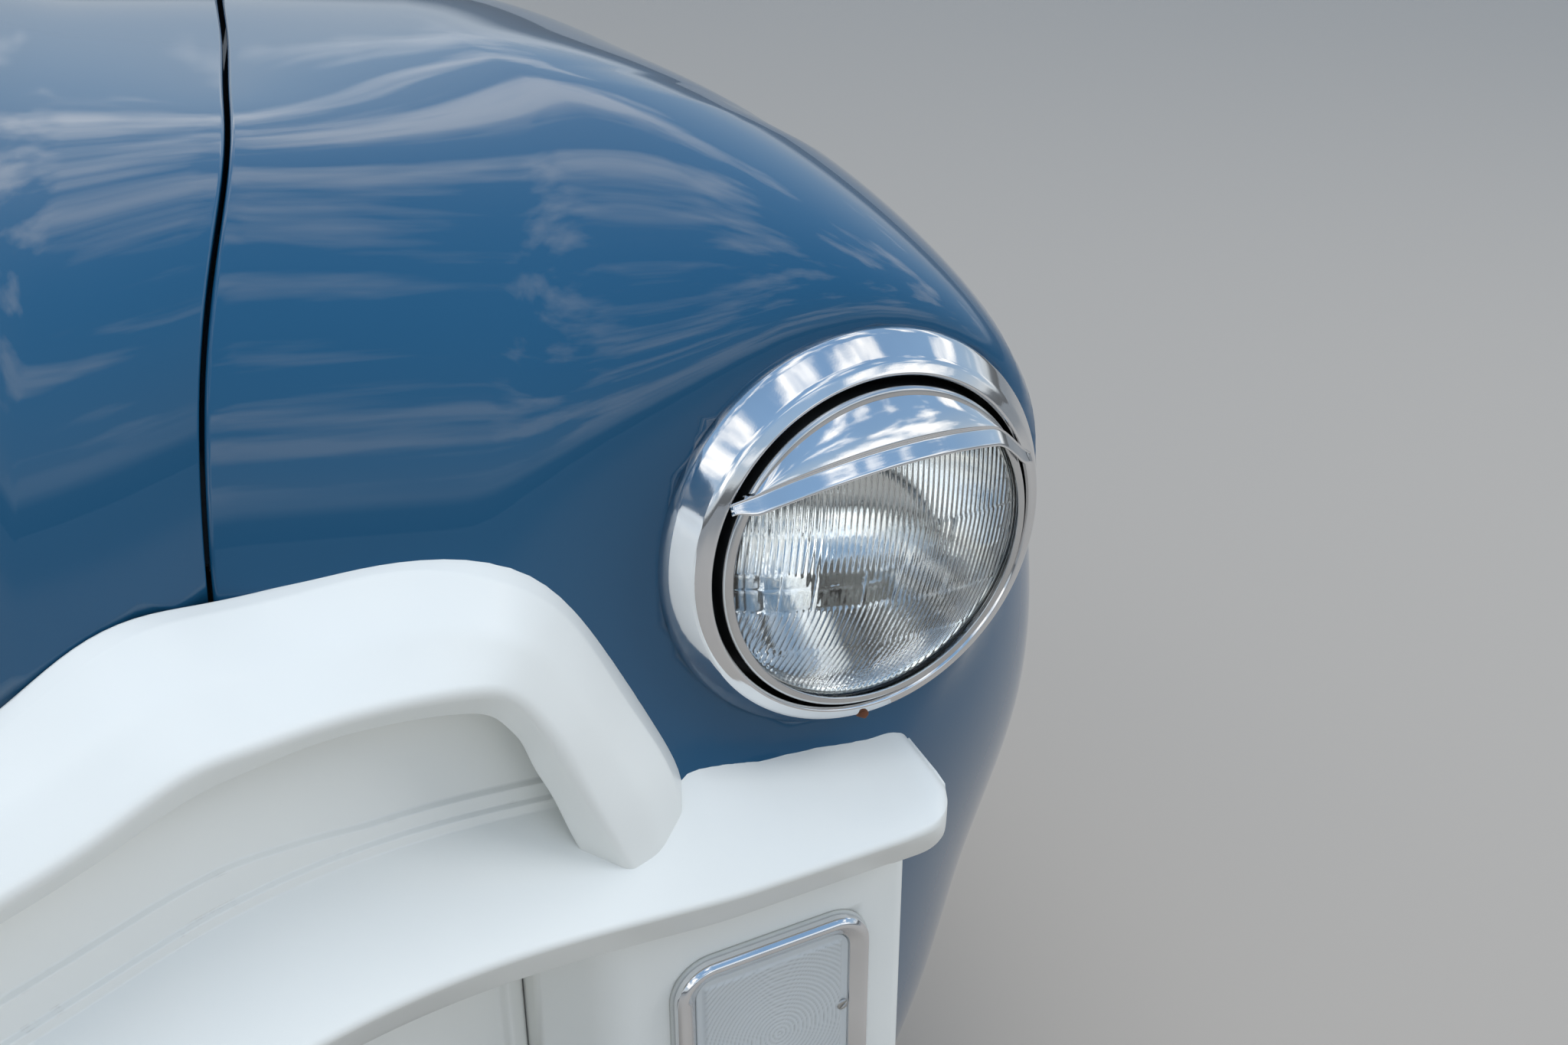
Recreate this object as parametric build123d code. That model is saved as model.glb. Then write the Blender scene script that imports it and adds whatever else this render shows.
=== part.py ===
# Front end of a classic pickup truck: hood, fenders, grille, lamps and the panels that carry them.
# Millimetres. The origin is on the rear face of the cowl panel, at the centre of its four body
# bolts. X points to the truck's left, -Y is the way it drives, Z is up.
import os
from math import cos, hypot, pi, radians, sin

from build123d import *

# Driving dimensions of the sheet metal
SHEET = 2.5  # thickness of every body panel
SEAT = 0.3  # clearance where one panel lies against another
PANEL_SEAT = 0.8  # the same against a curved panel
HALF_WIDTH = 915.0  # outer side wall of a fender from the centre line
FENDER_FLANGE = 18.0  # edge turned down beside the hood seam
WALL_END = 100.0  # where a fan section's side wall stops, out from the wheel's axis
FENDER_BOTTOM = -450.0

# Hood seam seen from above: a straight run that bends parallel to the truck near the cowl
SEAM_GAP = 3.5
SEAM_GAP_GROWTH = 2.0  # more room near the cowl, where the opening hood dips
SEAM_FRONT_X = 354.0
SEAM_FRONT_Y = -1235.0
SEAM_SLOPE = 0.24
SEAM_BEND_START = -560.0
SEAM_BEND_END = -300.0
SEAM_REAR_SLOPE = 0.02

# Wheel opening
WHEEL_Y = -670.0
WHEEL_Z = -545.0
WHEEL_OPENING = 410.0
SKIRT_GAP = 14.0  # wheelhouse arch stands this far above the opening

# Grille, seen from above, bows forward by a raised cosine about the centre line
BOW = 170.0
BOW_HALF = 560.0
GRILLE_FLAT_Y = -1225.0

# Headlamp: a sealed beam unit with 178 mm overall glass
LAMP_X = 680.0
LAMP_Y = -1230.0
LAMP_Z = 80.0
LENS_DOME = 16.0
BEZEL_RADIUS = 111.0

# Parking lamp
PARK_X = 613.0
PARK_Z = -217.0
PARK_WIDTH = 124.0
PARK_HEIGHT = 140.0
PARK_CORNER = 24.0
PARK_RIM = 13.0  # width of the chrome rim round the lens
PANEL_Y = -1236.0

# Cowl panel and hood hinge
COWL_BOLT_X = 960.0  # spacing of the four body bolts
COWL_BOLT_Z = 380.0
COWL_BOLT_RADIUS = 5.5
COWL_SHEET = 4.0
HINGE_X = 110.0
HINGE_Y = -60.0
HINGE_Z = 455.0
PIN_RADIUS = 6.0
PIN_PLAY = 0.06
RIB_DEPTH = 25.0
RIB_SEAT = 2.8

# Stations of the body. "fan" is a plane turned up from
# level about the wheel's axis in degrees, "across" an upright plane at a distance along the truck.
# Fender columns: reach of the surface at the seam, reach of the corner, corner radius,
# where the side wall stops, how far the side wall stands inboard of HALF_WIDTH.
FENDER_STATIONS = [
    ("fan", 0, 514, 480, 370, WALL_END, 40),
    ("fan", 10, 542, 503, 370, WALL_END, 22),
    ("fan", 20, 585, 541, 370, WALL_END, 8),
    ("fan", 32, 663, 617, 370, WALL_END, 0),
    ("fan", 42, 760, 738, 330, WALL_END, 0),
    ("fan", 50, 872, 808, 325, WALL_END, 0),
    ("fan", 56, 934, 838, 335, WALL_END, 0),
    ("fan", 62, 935, 841, 338, WALL_END, 0),
    ("fan", 70, 890, 830, 334, WALL_END, 0),
    ("fan", 80, 846, 797, 330, WALL_END, 0),
    ("fan", 90, 829, 769, 318, WALL_END, 0),
    ("across", -540, 819, 743, 305, 100, 0),
    ("across", -400, 809, 710, 290, 60, 0),
    ("across", -270, 800, 680, 270, 0, 0),
    ("across", -140, 793, 650, 245, -45, 0),
    ("across", -1, 785, 625, 215, -55, 0),
]
# Hood columns: reach on the centre line, crown radius, shoulder x and reach, valley x and reach.
# The edge of the hood takes the fender's own reach at the seam.
HOOD_STATIONS = [
    ("fan", 45.5, 1003, 500, 159, 967, 263, 884),
    ("fan", 50, 1075, 600, 186, 1040, 270, 945),
    ("fan", 56, 1098, 1000, 209, 1071, 281, 980),
    ("fan", 62, 1065, 1400, 223, 1042, 288, 955),
    ("fan", 70, 1023, 1500, 235, 1006, 305, 905),
    ("fan", 80, 998, 1500, 245, 978, 330, 863),
    ("fan", 90, 1000, 1500, 254, 975, 354, 844),
    ("across", -540, 1006, 1500, 262, 985, 375, 831),
    ("across", -400, 1018, 1500, 270, 993, 394, 821),
    ("across", -270, 1029, 1500, 278, 1003, 410, 812),
    ("across", -140, 1041, 1500, 287, 1014, 425, 804),
    ("across", -8, 1055, 1500, 296, 1027, 436, 797),
]
SHOULDER_RADIUS = 88.0
VALLEY_RADIUS = 110.0
FLANGE_RADIUS = 3.0
# Lower edge of the hood's nose, seen from the front: it drops behind the grille near the seam
HOOD_LIP = [(270, 162), (300, 158), (320, 146), (350, 132)]
HOOD_LIP_REAR = -1000.0


def station_plane(kind, value):
    """Plane of a station: local x runs across the truck, local y is the reach outwards."""
    if kind == "fan":
        turn = radians(value)
        return Plane(origin=(0, WHEEL_Y, WHEEL_Z), x_dir=(1, 0, 0), z_dir=(0, -sin(turn), -cos(turn)))
    return Plane(origin=(0, value, WHEEL_Z), x_dir=(1, 0, 0), z_dir=(0, -1, 0))


def station_y(kind, value, reach):
    """Place along the truck of a point at this reach on a station."""
    return WHEEL_Y - reach * cos(radians(value)) if kind == "fan" else value


def station_z(kind, value, reach):
    """Height of a point at this reach on a station."""
    return WHEEL_Z + reach * (sin(radians(value)) if kind == "fan" else 1)


def seam_x(y):
    """Fender side of the hood seam, seen from above."""
    straight = min(y, SEAM_BEND_START) - SEAM_FRONT_Y
    x = SEAM_FRONT_X + SEAM_SLOPE * max(straight, 0)
    bend = min(max(y - SEAM_BEND_START, 0), SEAM_BEND_END - SEAM_BEND_START)
    fall = (SEAM_SLOPE - SEAM_REAR_SLOPE) / (SEAM_BEND_END - SEAM_BEND_START)
    x += SEAM_SLOPE * bend - fall * bend**2 / 2
    return x + SEAM_REAR_SLOPE * max(y - SEAM_BEND_END, 0)


def seam_gap(y):
    """Gap between hood and fender at a place along the truck."""
    share = (y - SEAM_BEND_START) / (SEAM_BEND_END - SEAM_BEND_START)
    return SEAM_GAP + SEAM_GAP_GROWTH * min(max(share, 0), 1)


def bow_y(x):
    """How far forward the grille stands at a distance from the centre line."""
    if abs(x) >= BOW_HALF:
        return GRILLE_FLAT_Y
    return GRILLE_FLAT_Y - BOW * cos(pi / 2 * x / BOW_HALF) ** 2


def fender_reach(kind, value):
    """Reach of the fender at the seam for any fan angle or place along the truck."""
    rows = [row for row in FENDER_STATIONS if row[0] == kind]
    for low, high in zip(rows, rows[1:]):
        if low[1] <= value <= high[1]:
            share = (value - low[1]) / (high[1] - low[1])
            return low[2] + share * (high[2] - low[2])
    return rows[-1][2]


def sideways(points, distance):
    """Copy of an open path moved to its right by a distance, with mitred corners."""
    moved = []
    steps = [(b[0] - a[0], b[1] - a[1]) for a, b in zip(points, points[1:])]
    normals = [(dy / hypot(dx, dy), -dx / hypot(dx, dy)) for dx, dy in steps]
    for i, (x, y) in enumerate(points):
        before = normals[max(i - 1, 0)]
        after = normals[min(i, len(normals) - 1)]
        share = distance / (1 + before[0] * after[0] + before[1] * after[1])
        moved.append((x + share * (before[0] + after[0]), y + share * (before[1] + after[1])))
    return moved


def strip_face(points, radii, thickness):
    """Closed strip of sheet: a path with rounded corners and its copy moved to the right."""
    inner = sideways(points, thickness)
    inner_radii = []
    for i, radius in enumerate(radii, start=1):
        ax, ay = points[i][0] - points[i - 1][0], points[i][1] - points[i - 1][1]
        bx, by = points[i + 1][0] - points[i][0], points[i + 1][1] - points[i][1]
        turns_right = ax * by - ay * bx < 0
        inner_radii.append(radius - thickness if turns_right else radius + thickness)
    outline = points + inner[::-1]
    corner_radii = [0, *radii, 0, 0, *inner_radii[::-1], 0]
    return make_face(FilletPolyline(*outline, radius=corner_radii, close=True))


def fender_path(row):
    """Fender section from the flange at the seam, over the crown and down the side wall."""
    kind, value, seam_reach, corner_reach, radius, wall_end, tuck = row
    x = seam_x(station_y(kind, value, seam_reach))
    side = HALF_WIDTH - tuck
    path = [(x, seam_reach - FENDER_FLANGE), (x, seam_reach), (side, corner_reach), (side, wall_end)]
    return path, [FLANGE_RADIUS, radius]


def fender_skin():
    """Pressed fender shell, before its openings are cut."""
    sections = []
    for row in FENDER_STATIONS:
        path, radii = fender_path(row)
        sections.append(station_plane(row[0], row[1]) * strip_face(path, radii, SHEET))
    return loft(sections)


def fender_block(inset, start):
    """Everything behind a surface parallel to the fender's, from a distance off the centre line."""
    sections = []
    for kind, value, seam_reach, corner_reach, radius, wall_end, tuck in FENDER_STATIONS:
        side = HALF_WIDTH - tuck - inset
        slope = (corner_reach - seam_reach) / (HALF_WIDTH - SEAM_FRONT_X)
        high = seam_reach - inset + slope * (start - seam_x(station_y(kind, value, seam_reach)))
        outline = [(start, high), (side, corner_reach - inset), (side, wall_end), (start, wall_end)]
        face = make_face(FilletPolyline(*outline, radius=[0, radius - inset, 0, 0], close=True))
        sections.append(station_plane(kind, value) * face)
    return loft(sections)


def prism_y(points, start, end, radius=0.0):
    """Solid from an outline seen from the front (x, z), between two places along the truck."""
    face = Plane.XZ * make_face(FilletPolyline(*points, radius=radius, close=True))
    return Pos(0, start, 0) * extrude(face, end - start, dir=(0, 1, 0))


def prism_x(points, start, end, radius=0.0):
    """Solid from an outline seen from the side (y, z), between two places across the truck."""
    face = Plane.YZ * make_face(FilletPolyline(*points, radius=radius, close=True))
    return Pos(start, 0, 0) * extrude(face, end - start, dir=(1, 0, 0))


def prism_z(points, start, end, radius=0.0):
    """Solid from an outline seen from above (x, y), between two heights."""
    face = make_face(FilletPolyline(*points, radius=radius, close=True))
    return Pos(0, 0, start) * extrude(face, end - start)


def rod(radius, start, end):
    """Round bar between two points."""
    start, end = Vector(*start), Vector(*end)
    plane = Plane(origin=start, z_dir=end - start)
    return extrude(plane * Circle(radius), (end - start).length)


# The grille opening in a fender, seen from the front: the sheet stops behind the white grille.
def fender_opening():
    outline = [(200, 120), (440, 118), (492, 70), (540, -50), (560, -62),
               (690, -72), (690, -700), (200, -700)]
    return prism_y(outline, -1500, -960, radius=8.0)


def wheel_opening(radius):
    return rod(radius, (200, WHEEL_Y, WHEEL_Z), (1100, WHEEL_Y, WHEEL_Z))


def fender():
    """Fender with its grille, lamp and wheel openings."""
    skin = fender_skin() - fender_opening() - wheel_opening(WHEEL_OPENING)
    skin -= Pos(HALF_WIDTH, WHEEL_Y - 700, FENDER_BOTTOM - 200) * Box(1400, 1400, 400)
    return skin - rod(BEZEL_RADIUS + SEAT, (LAMP_X, -1400, LAMP_Z), (LAMP_X, -950, LAMP_Z))


def side_profile(drop):
    """The seam seen from the side, lowered, from the lamp to the cowl."""
    points = []
    for kind, value, seam_reach, *_ in FENDER_STATIONS[5:]:
        reach = seam_reach - drop
        points.append((station_y(kind, value, reach), station_z(kind, value, reach)))
    return points


def seam_line(shift, start, end, count=14):
    """Points of the seam seen from above, moved outboard."""
    ys = [start + (end - start) * i / count for i in range(count + 1)]
    return [(seam_x(y) + shift, y) for y in ys]


SKIRT_FRONT = -1120.0
SKIRT_BOTTOM = -560.0
SKIRT_INBOARD = 8.5  # engine side of the apron, outboard of the seam
APRON_DROP = 8.6  # top edge of the apron under the seam, clear of the falling fender
BLOCK_START = 250.0  # the fender's surface is carried on inboard to here


def inner_skirt():
    """Apron beside the engine with the wheelhouse arch, which carries the fender's flange."""
    inboard = seam_line(SKIRT_INBOARD, SKIRT_FRONT, -COWL_SHEET - SEAT)
    outboard = seam_line(SKIRT_INBOARD + SHEET, SKIRT_FRONT, -COWL_SHEET - SEAT)
    profile = side_profile(APRON_DROP)
    below = [(profile[-1][0], -900), (-1300, -900)]
    arch_radius = WHEEL_OPENING + SKIRT_GAP
    wall = prism_z(inboard + outboard[::-1], SKIRT_BOTTOM, 420) & prism_x(profile + below, 250, 700)
    wall = wall - wheel_opening(arch_radius)
    arch = rod(arch_radius + SHEET, (300, WHEEL_Y, WHEEL_Z), (HALF_WIDTH - 12, WHEEL_Y, WHEEL_Z))
    arch = arch - wheel_opening(arch_radius)
    arch = arch & Pos(600, WHEEL_Y, 0) * Box(800, 2 * arch_radius + 40, -2 * SKIRT_BOTTOM)
    engine_edge = seam_line(SKIRT_INBOARD, SKIRT_FRONT - 100, 0)
    engine_side = prism_z([(0, SKIRT_FRONT - 400), *engine_edge, (0, 0)], -700, 400)
    arch = (arch - engine_side) & fender_block(SHEET + PANEL_SEAT, BLOCK_START)
    return wall + arch


def hood_path(row):
    """Hood section from one edge flange over the bulge to the other."""
    kind, value, centre, crown, shoulder_x, shoulder, valley_x, valley = row
    edge = fender_reach(kind, value)
    edge_y = station_y(kind, value, edge)
    edge_x = seam_x(edge_y) - seam_gap(edge_y)
    half = [(0, centre), (shoulder_x, shoulder), (valley_x, valley), (edge_x, edge), (edge_x, edge - FENDER_FLANGE)]
    path = [(-x, reach) for x, reach in half[:0:-1]] + half
    outer = [FLANGE_RADIUS, VALLEY_RADIUS, SHOULDER_RADIUS]
    return path, [*outer, crown, *outer[::-1]]


def hood_skin():
    """Pressed hood: centre bulge, valleys and flared edges, trimmed level above the grille."""
    sections = []
    for row in HOOD_STATIONS:
        path, radii = hood_path(row)
        sections.append(station_plane(row[0], row[1]) * strip_face(path, radii, SHEET))
    skin = loft(sections)
    left = [*HOOD_LIP, (450, HOOD_LIP[-1][1]), (450, -300)]
    below = [(-x, z) for x, z in left[::-1]] + left
    return skin - prism_y(below, -1600, HOOD_LIP_REAR)


def rib_reach(row):
    """Reach of the hood's underside at the rib."""
    _, _, centre, _, shoulder_x, shoulder, *_ = row
    return centre - (centre - shoulder) * HINGE_X / shoulder_x - SHEET - RIB_SEAT


def hood_rib(x):
    """Upright rib that follows the underside of the hood from nose to cowl."""
    sections = []
    for row in HOOD_STATIONS:
        top = rib_reach(row)
        face = Pos(x, top - RIB_DEPTH / 2) * Rectangle(3, RIB_DEPTH)
        sections.append(station_plane(row[0], row[1]) * face)
    rib = loft(sections)
    rear = Pos(x, -8, 400) * Box(20, 40, 400)
    below = Pos(x, -1300, NOSE_PLATE_Z - 110) * Box(20, 300, 200)
    return rib - rear - below


RADIATOR_Y = -1040.0
RADIATOR_FRAME = 30.0
NOSE_PLATE_Z = 176.0
BOLT_Y = -1306.0


def hood_brace():
    """Inner frame of the hood: two ribs, cross bars and the nose plate that holds the latch bolt."""
    ribs = hood_rib(-HINGE_X) + hood_rib(HINGE_X)
    brace = ribs
    for row in (HOOD_STATIONS[4], HOOD_STATIONS[8], HOOD_STATIONS[10]):
        bar = Pos(0, rib_reach(row) - RIB_DEPTH / 2) * Box(2 * HINGE_X, 3, 40)
        brace += station_plane(row[0], row[1]) * bar
    brace += Pos(0, BOLT_Y - 9, NOSE_PLATE_Z) * Box(2 * HINGE_X, 56, 3)
    return brace


def hinge_arm(x):
    """Arm bolted beside the hood rib, with its eye at the hinge pin."""
    outline = [(HINGE_Y, HINGE_Z + 12), (HINGE_Y - 60, HINGE_Z + 5), (-330, 457), (-330, 435),
               (HINGE_Y - 60, HINGE_Z - 18), (HINGE_Y, HINGE_Z - 12)]
    arm = prism_x(outline, x + 1.5 + SEAT, x + 6.5, radius=2.0)
    arm += rod(13, (x + 1.5 + SEAT, HINGE_Y, HINGE_Z), (x + 6.5, HINGE_Y, HINGE_Z))
    return arm - rod(PIN_RADIUS + PIN_PLAY, (x, HINGE_Y, HINGE_Z), (x + 10, HINGE_Y, HINGE_Z))


def hinge_base(x):
    """Bracket on the cowl panel with the pin that the hood arm turns on."""
    front = -COWL_SHEET
    base = Pos(x + 14, front - 1.5, 400) * Box(60, 3, 56)
    ear = [(front, 376), (front, 424), (HINGE_Y + 8, HINGE_Z + 12),
           (HINGE_Y - 10, HINGE_Z + 10), (HINGE_Y - 10, HINGE_Z - 12)]
    base += prism_x(ear, x + 8, x + 12, radius=3.0)
    base += rod(PIN_RADIUS, (x + 0.5, HINGE_Y, HINGE_Z), (x + 12, HINGE_Y, HINGE_Z))
    return base


def latch_panel():
    """Shelf behind the top of the grille, with the hole for the hood's latch bolt."""
    front = [(x, bow_y(x) + 34) for x in range(-330, 331, 60)]
    back = RADIATOR_Y - RADIATOR_FRAME / 2 - SEAT
    shelf = prism_z(front + [(330, back), (-330, back)], 138, 138 + SHEET)
    shelf += Pos(0, back - SHEET / 2, 125) * Box(660, SHEET, 28)
    return shelf - rod(20, (0, BOLT_Y - 4, 100), (0, BOLT_Y - 4, 180))


def latch_bolt():
    """Round bolt under the hood's nose plate."""
    y = BOLT_Y
    bolt = rod(14, (0, y, NOSE_PLATE_Z - 1.5), (0, y, NOSE_PLATE_Z - 6))
    bolt += rod(6, (0, y, NOSE_PLATE_Z - 6), (0, y, 122))
    tip = Pos(0, y, 118) * Cone(3, 6, 8)
    return bolt + tip


def cowl_panel():
    """Firewall with beads, top lip and bolt holes; the hood closes over it and fenders bolt to it."""
    path, radii = fender_path(FENDER_STATIONS[-1])
    under = [(x, z + WHEEL_Z) for x, z in sideways(path, SHEET + PANEL_SEAT)[1:]]
    inner_x, flange_z = under[0][0] + 4, path[0][1] + WHEEL_Z - 4
    half = [(0, 436), (240, 420), (330, 330), (430, flange_z), (inner_x, flange_z),
            (inner_x, under[0][1] - 4), *under[1:]]
    outline = half + [(-x, z) for x, z in half[::-1] if x > 0]
    corners = [0, 20, 20, 20, 2, 2, radii[1] - SHEET - PANEL_SEAT, 6]
    face = Plane.XZ * make_face(FilletPolyline(*outline, radius=corners + corners[:0:-1], close=True))
    panel = Pos(0, -COWL_SHEET, 0) * extrude(face, COWL_SHEET, dir=(0, 1, 0))
    for x in (-COWL_BOLT_X / 2, COWL_BOLT_X / 2):
        for z in (-COWL_BOLT_Z / 2, COWL_BOLT_Z / 2):
            panel -= rod(COWL_BOLT_RADIUS, (x, -20, z), (x, 20, z))
    return panel


def radiator_support():
    """Upright frame round the radiator with feet and a tie to the skirts."""
    width, bottom, top, bar = 700.0, -440.0, 130.0, 45.0
    outer = Pos(0, RADIATOR_Y, (top + bottom) / 2) * Box(width, RADIATOR_FRAME, top - bottom)
    inner = Pos(0, RADIATOR_Y, (top + bottom) / 2) * Box(width - 2 * bar, 60, top - bottom - 2 * bar)
    frame = outer - inner
    wing_y = RADIATOR_Y + RADIATOR_FRAME / 2
    wing_end = seam_x(wing_y - 3) + SKIRT_INBOARD - SEAT
    wing = prism_z([(340, wing_y - 3), (wing_end, wing_y - 3), (wing_end, wing_y), (340, wing_y)], -250, 50)
    frame += wing + mirror(wing, Plane.YZ)
    for side in (-1, 1):
        foot = Pos(side * 300, RADIATOR_Y, bottom - 3) * Box(90, 90, 6)
        frame += foot
        frame -= rod(6.5, (side * 300, RADIATOR_Y, -500), (side * 300, RADIATOR_Y, -380))
    return frame


def radiator():
    """Core with top and bottom tanks, hose necks and filler."""
    y = RADIATOR_Y + 15 + 30 + SEAT
    core = Pos(0, y, -155) * Box(560, 50, 400)
    body = core + Pos(0, y, 72) * Box(580, 60, 54) + Pos(0, y, -380) * Box(580, 60, 50)
    body += rod(19, (-160, y, 80), (-160, y + 75, 80))
    body += rod(19, (160, y, -380), (160, y + 75, -380))
    body += rod(22, (0, y, 99), (0, y, 118)) + rod(29, (0, y, 118), (0, y, 130))
    return body


BAR_FACE = 62.0
BAR_OUT = 55.0
BAR_UNDER = 20.0
BAR_BACK = 25.0
BAR_DEPTH = 30.0
BAR_EXTRA_DEPTH = 16.0  # where the bar meets the fender
LEG_SHARE = 0.76  # the leg is this much slimmer than the arch
BEND_START = 0.54
BEND_SPAN = 0.2
ARCH_PATH = [(0, 152), (330, 163), (492, 130), (578, -61)]
ARCH_RADII = [700, 72]
ARCH_SHARES = (0, 0.12, 0.25, 0.38, 0.5, 0.58, 0.62, 0.66, 0.7, 0.74, 0.8, 1)
NOSE_RISE = 52.0
RISE_START_X = 590.0
RISE_END_X = 290.0
CROSS_BACK = 49.7
WALL_FULL_X = 480.0
WALL_NONE_X = 560.0
WALL_TOP = 125.0
WALL_LOW = -34.0
SHELF_DROOP = 0.09
CROSS_BAR_X = (0, 60, 120, 180, 240, 300, 360, 420, 480, 520, 560, 620, 760)
CROSS_LOWER_RADIUS = 5.0
CROSS_NOSE_RADIUS = 6.0
CROSS_COVE_RADIUS = 30.0
CROSS_TIP_X = 733.0
CROSS_TIP_RADIUS = 42.0
PANEL_INNER_X = 484.0
PANEL_FACE_X = 512.0
PANEL_OUTER_X = 704.0
PANEL_TOP = -113.0
LOWER_PANEL_TOP = -50.0
PANEL_BOTTOM = -332.0
AIR_OUTER_X = 470.0
AIR_INNER_X = 30.0
AIR_TOP = -215.0
AIR_BOTTOM = -312.0
LENS_RIM = 89.0
LENS_THICKNESS = 4.0
REFLECTOR_DEPTH = 84.0
VISOR_RADIUS = 91.0
VISOR_STAND = 4.2
VISOR_EDGE = 32.0


def upper_bar_section(path, share, side):
    """Ridge section of the arch at a share of its length, as a flat five-cornered face."""
    point, tangent = path @ share, path % share
    leg = min(max((share - BEND_START) / BEND_SPAN, 0), 1)
    scale = 1 - (1 - LEG_SHARE) * leg
    front = bow_y(point.X)
    depth = BAR_DEPTH + BAR_EXTRA_DEPTH * min(max((share - 0.5) / 0.08, 0), 1)
    columns = [  # how far into the bar, how far out of the grille
        (0, 0),
        (BAR_FACE, -BAR_OUT),
        (BAR_FACE + BAR_UNDER, BAR_BACK - BAR_OUT),
        (BAR_FACE + BAR_UNDER, BAR_BACK - BAR_OUT + depth),
        (0, depth),
    ]
    corners = []
    for down, out in columns:
        x = point.X + tangent.Y * down * scale
        z = point.Y - tangent.X * down * scale
        corners.append(Vector(side * x, front + out * scale, z))
    return Face(Wire.make_polygon(corners, close=True))


def grille_upper_bar(block):
    """Arch of the grille: a bar that bows forward and bends down into a leg at each side."""
    path = FilletPolyline(*ARCH_PATH, radius=ARCH_RADII)
    left = [upper_bar_section(path, share, 1) for share in ARCH_SHARES]
    right = [upper_bar_section(path, share, -1) for share in ARCH_SHARES[:0:-1]]
    bar = loft(right + left, ruled=True)
    return bar - cross_bar_solid(-SEAT) - block - mirror(block, Plane.YZ)


def cross_bar_path(x):
    """Section of the crossbar seen from the side: underside, front, nose, shelf and back wall."""
    swell = (GRILLE_FLAT_Y - bow_y(x)) / BOW
    lift = min(max((RISE_START_X - abs(x)) / (RISE_START_X - RISE_END_X), 0), 1)
    forward, rise = -BOW * swell, NOSE_RISE * lift**2 * (3 - 2 * lift)
    hidden = min(max((abs(x) - WALL_FULL_X) / (WALL_NONE_X - WALL_FULL_X), 0), 1)
    droop = max(abs(x) - WALL_NONE_X, 0) * SHELF_DROOP
    wall_top = WALL_TOP - hidden * (WALL_TOP - WALL_LOW) - droop
    return [
        (-1190 + forward, -112 + rise),
        (-1254 + forward, -110 + rise),
        (-1275 + forward, -78 + rise),
        (-1206 + forward, -38 - droop + rise),
        (-1194 + forward, wall_top),
    ]


def cross_bar_solid(inset):
    """Crossbar filled to the back. A positive inset gives the hollow behind its sheet."""
    sections = []
    for x in sorted({side * value for value in CROSS_BAR_X for side in (-1, 1)}):
        path = sideways(cross_bar_path(x), inset)
        back = bow_y(x) + CROSS_BACK
        over = 40 if inset > 0 else 0
        top = path[-1][1] + over
        outline = path + [(path[-1][0], top)] * (over > 0) + [(back, top), (back, path[0][1])]
        radii = [0, CROSS_LOWER_RADIUS, CROSS_NOSE_RADIUS, CROSS_COVE_RADIUS] + [0] * (len(outline) - 4)
        plane = Plane(origin=(x, 0, 0), x_dir=(0, 1, 0), z_dir=(1, 0, 0))
        sections.append(plane * make_face(FilletPolyline(*outline, radius=radii, close=True)))
    solid = loft(sections, ruled=True)
    tip, front = CROSS_TIP_X - inset, -1276 + inset
    plan = [(-tip, -1050), (-tip, front), (-620, front), (-620, -1600),
            (620, -1600), (620, front), (tip, front), (tip, -1050)]
    ends = prism_z(plan, -300, 300, [0, CROSS_TIP_RADIUS, 0, 0, 0, 0, CROSS_TIP_RADIUS, 0])
    return solid & ends


def grille_cross_bar(block):
    """Crossbar: a pressed shelf with a blunt nose that reaches across both fenders."""
    bar = cross_bar_solid(0) - cross_bar_solid(SHEET)
    return bar - block - mirror(block, Plane.YZ)


def rounded_block(x, z, width, height, corner, front, back):
    """Upright block with rounded corners, seen from the front, between two depths."""
    face = Plane.XZ * (Pos(x, z) * RectangleRounded(width, height, corner))
    return Pos(0, front, 0) * extrude(face, back - front, dir=(0, 1, 0))


def lamp_panel(block):
    """Panel that carries the parking lamp, rolled back to the fender and to the lower panel."""
    path = [(PANEL_INNER_X, -1168), (PANEL_INNER_X, -1200), (PANEL_FACE_X, PANEL_Y),
            (PANEL_OUTER_X, PANEL_Y), (PANEL_OUTER_X, -1100)]
    face = strip_face(path, [6, 30, 10], -SHEET)
    panel = Pos(0, 0, PANEL_BOTTOM) * extrude(face, PANEL_TOP - PANEL_BOTTOM)
    hole = rounded_block(PARK_X, PARK_Z, PARK_WIDTH - 10, PARK_HEIGHT - 10, PARK_CORNER - 5, -1300, -1180)
    return panel - hole - block


def bowed_strip(half, shift, thickness, low, high):
    """Upright sheet that follows the bow of the grille."""
    count = 16
    xs = [half * (2 * i / count - 1) for i in range(count + 1)]
    front = [(x, bow_y(x) + shift) for x in xs]
    back = [(x, y + thickness) for x, y in front]
    return Pos(0, 0, low) * extrude(make_face(Polyline(*front, *back[::-1], close=True)), high - low)


def grille_lower_panel():
    """Recessed panel under the crossbar with a rounded air opening each side of a centre post."""
    panel = bowed_strip(PANEL_INNER_X - SEAT, 50, SHEET, PANEL_BOTTOM, LOWER_PANEL_TOP)
    for side in (-1, 1):
        width = AIR_OUTER_X - AIR_INNER_X
        middle = side * (AIR_OUTER_X + AIR_INNER_X) / 2
        height = AIR_TOP - AIR_BOTTOM
        panel -= rounded_block(middle, (AIR_TOP + AIR_BOTTOM) / 2, width, height, 18, -1500, -1000)
    return panel


def gravel_pan(block):
    """Valance under the grille, between the fenders."""
    top = PANEL_BOTTOM - SEAT
    pan = bowed_strip(PANEL_OUTER_X, 14, SHEET, FENDER_BOTTOM, top)
    pan += bowed_strip(PANEL_INNER_X, 14, 39, top - SHEET, top)
    return pan - block - mirror(block, Plane.YZ)


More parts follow.
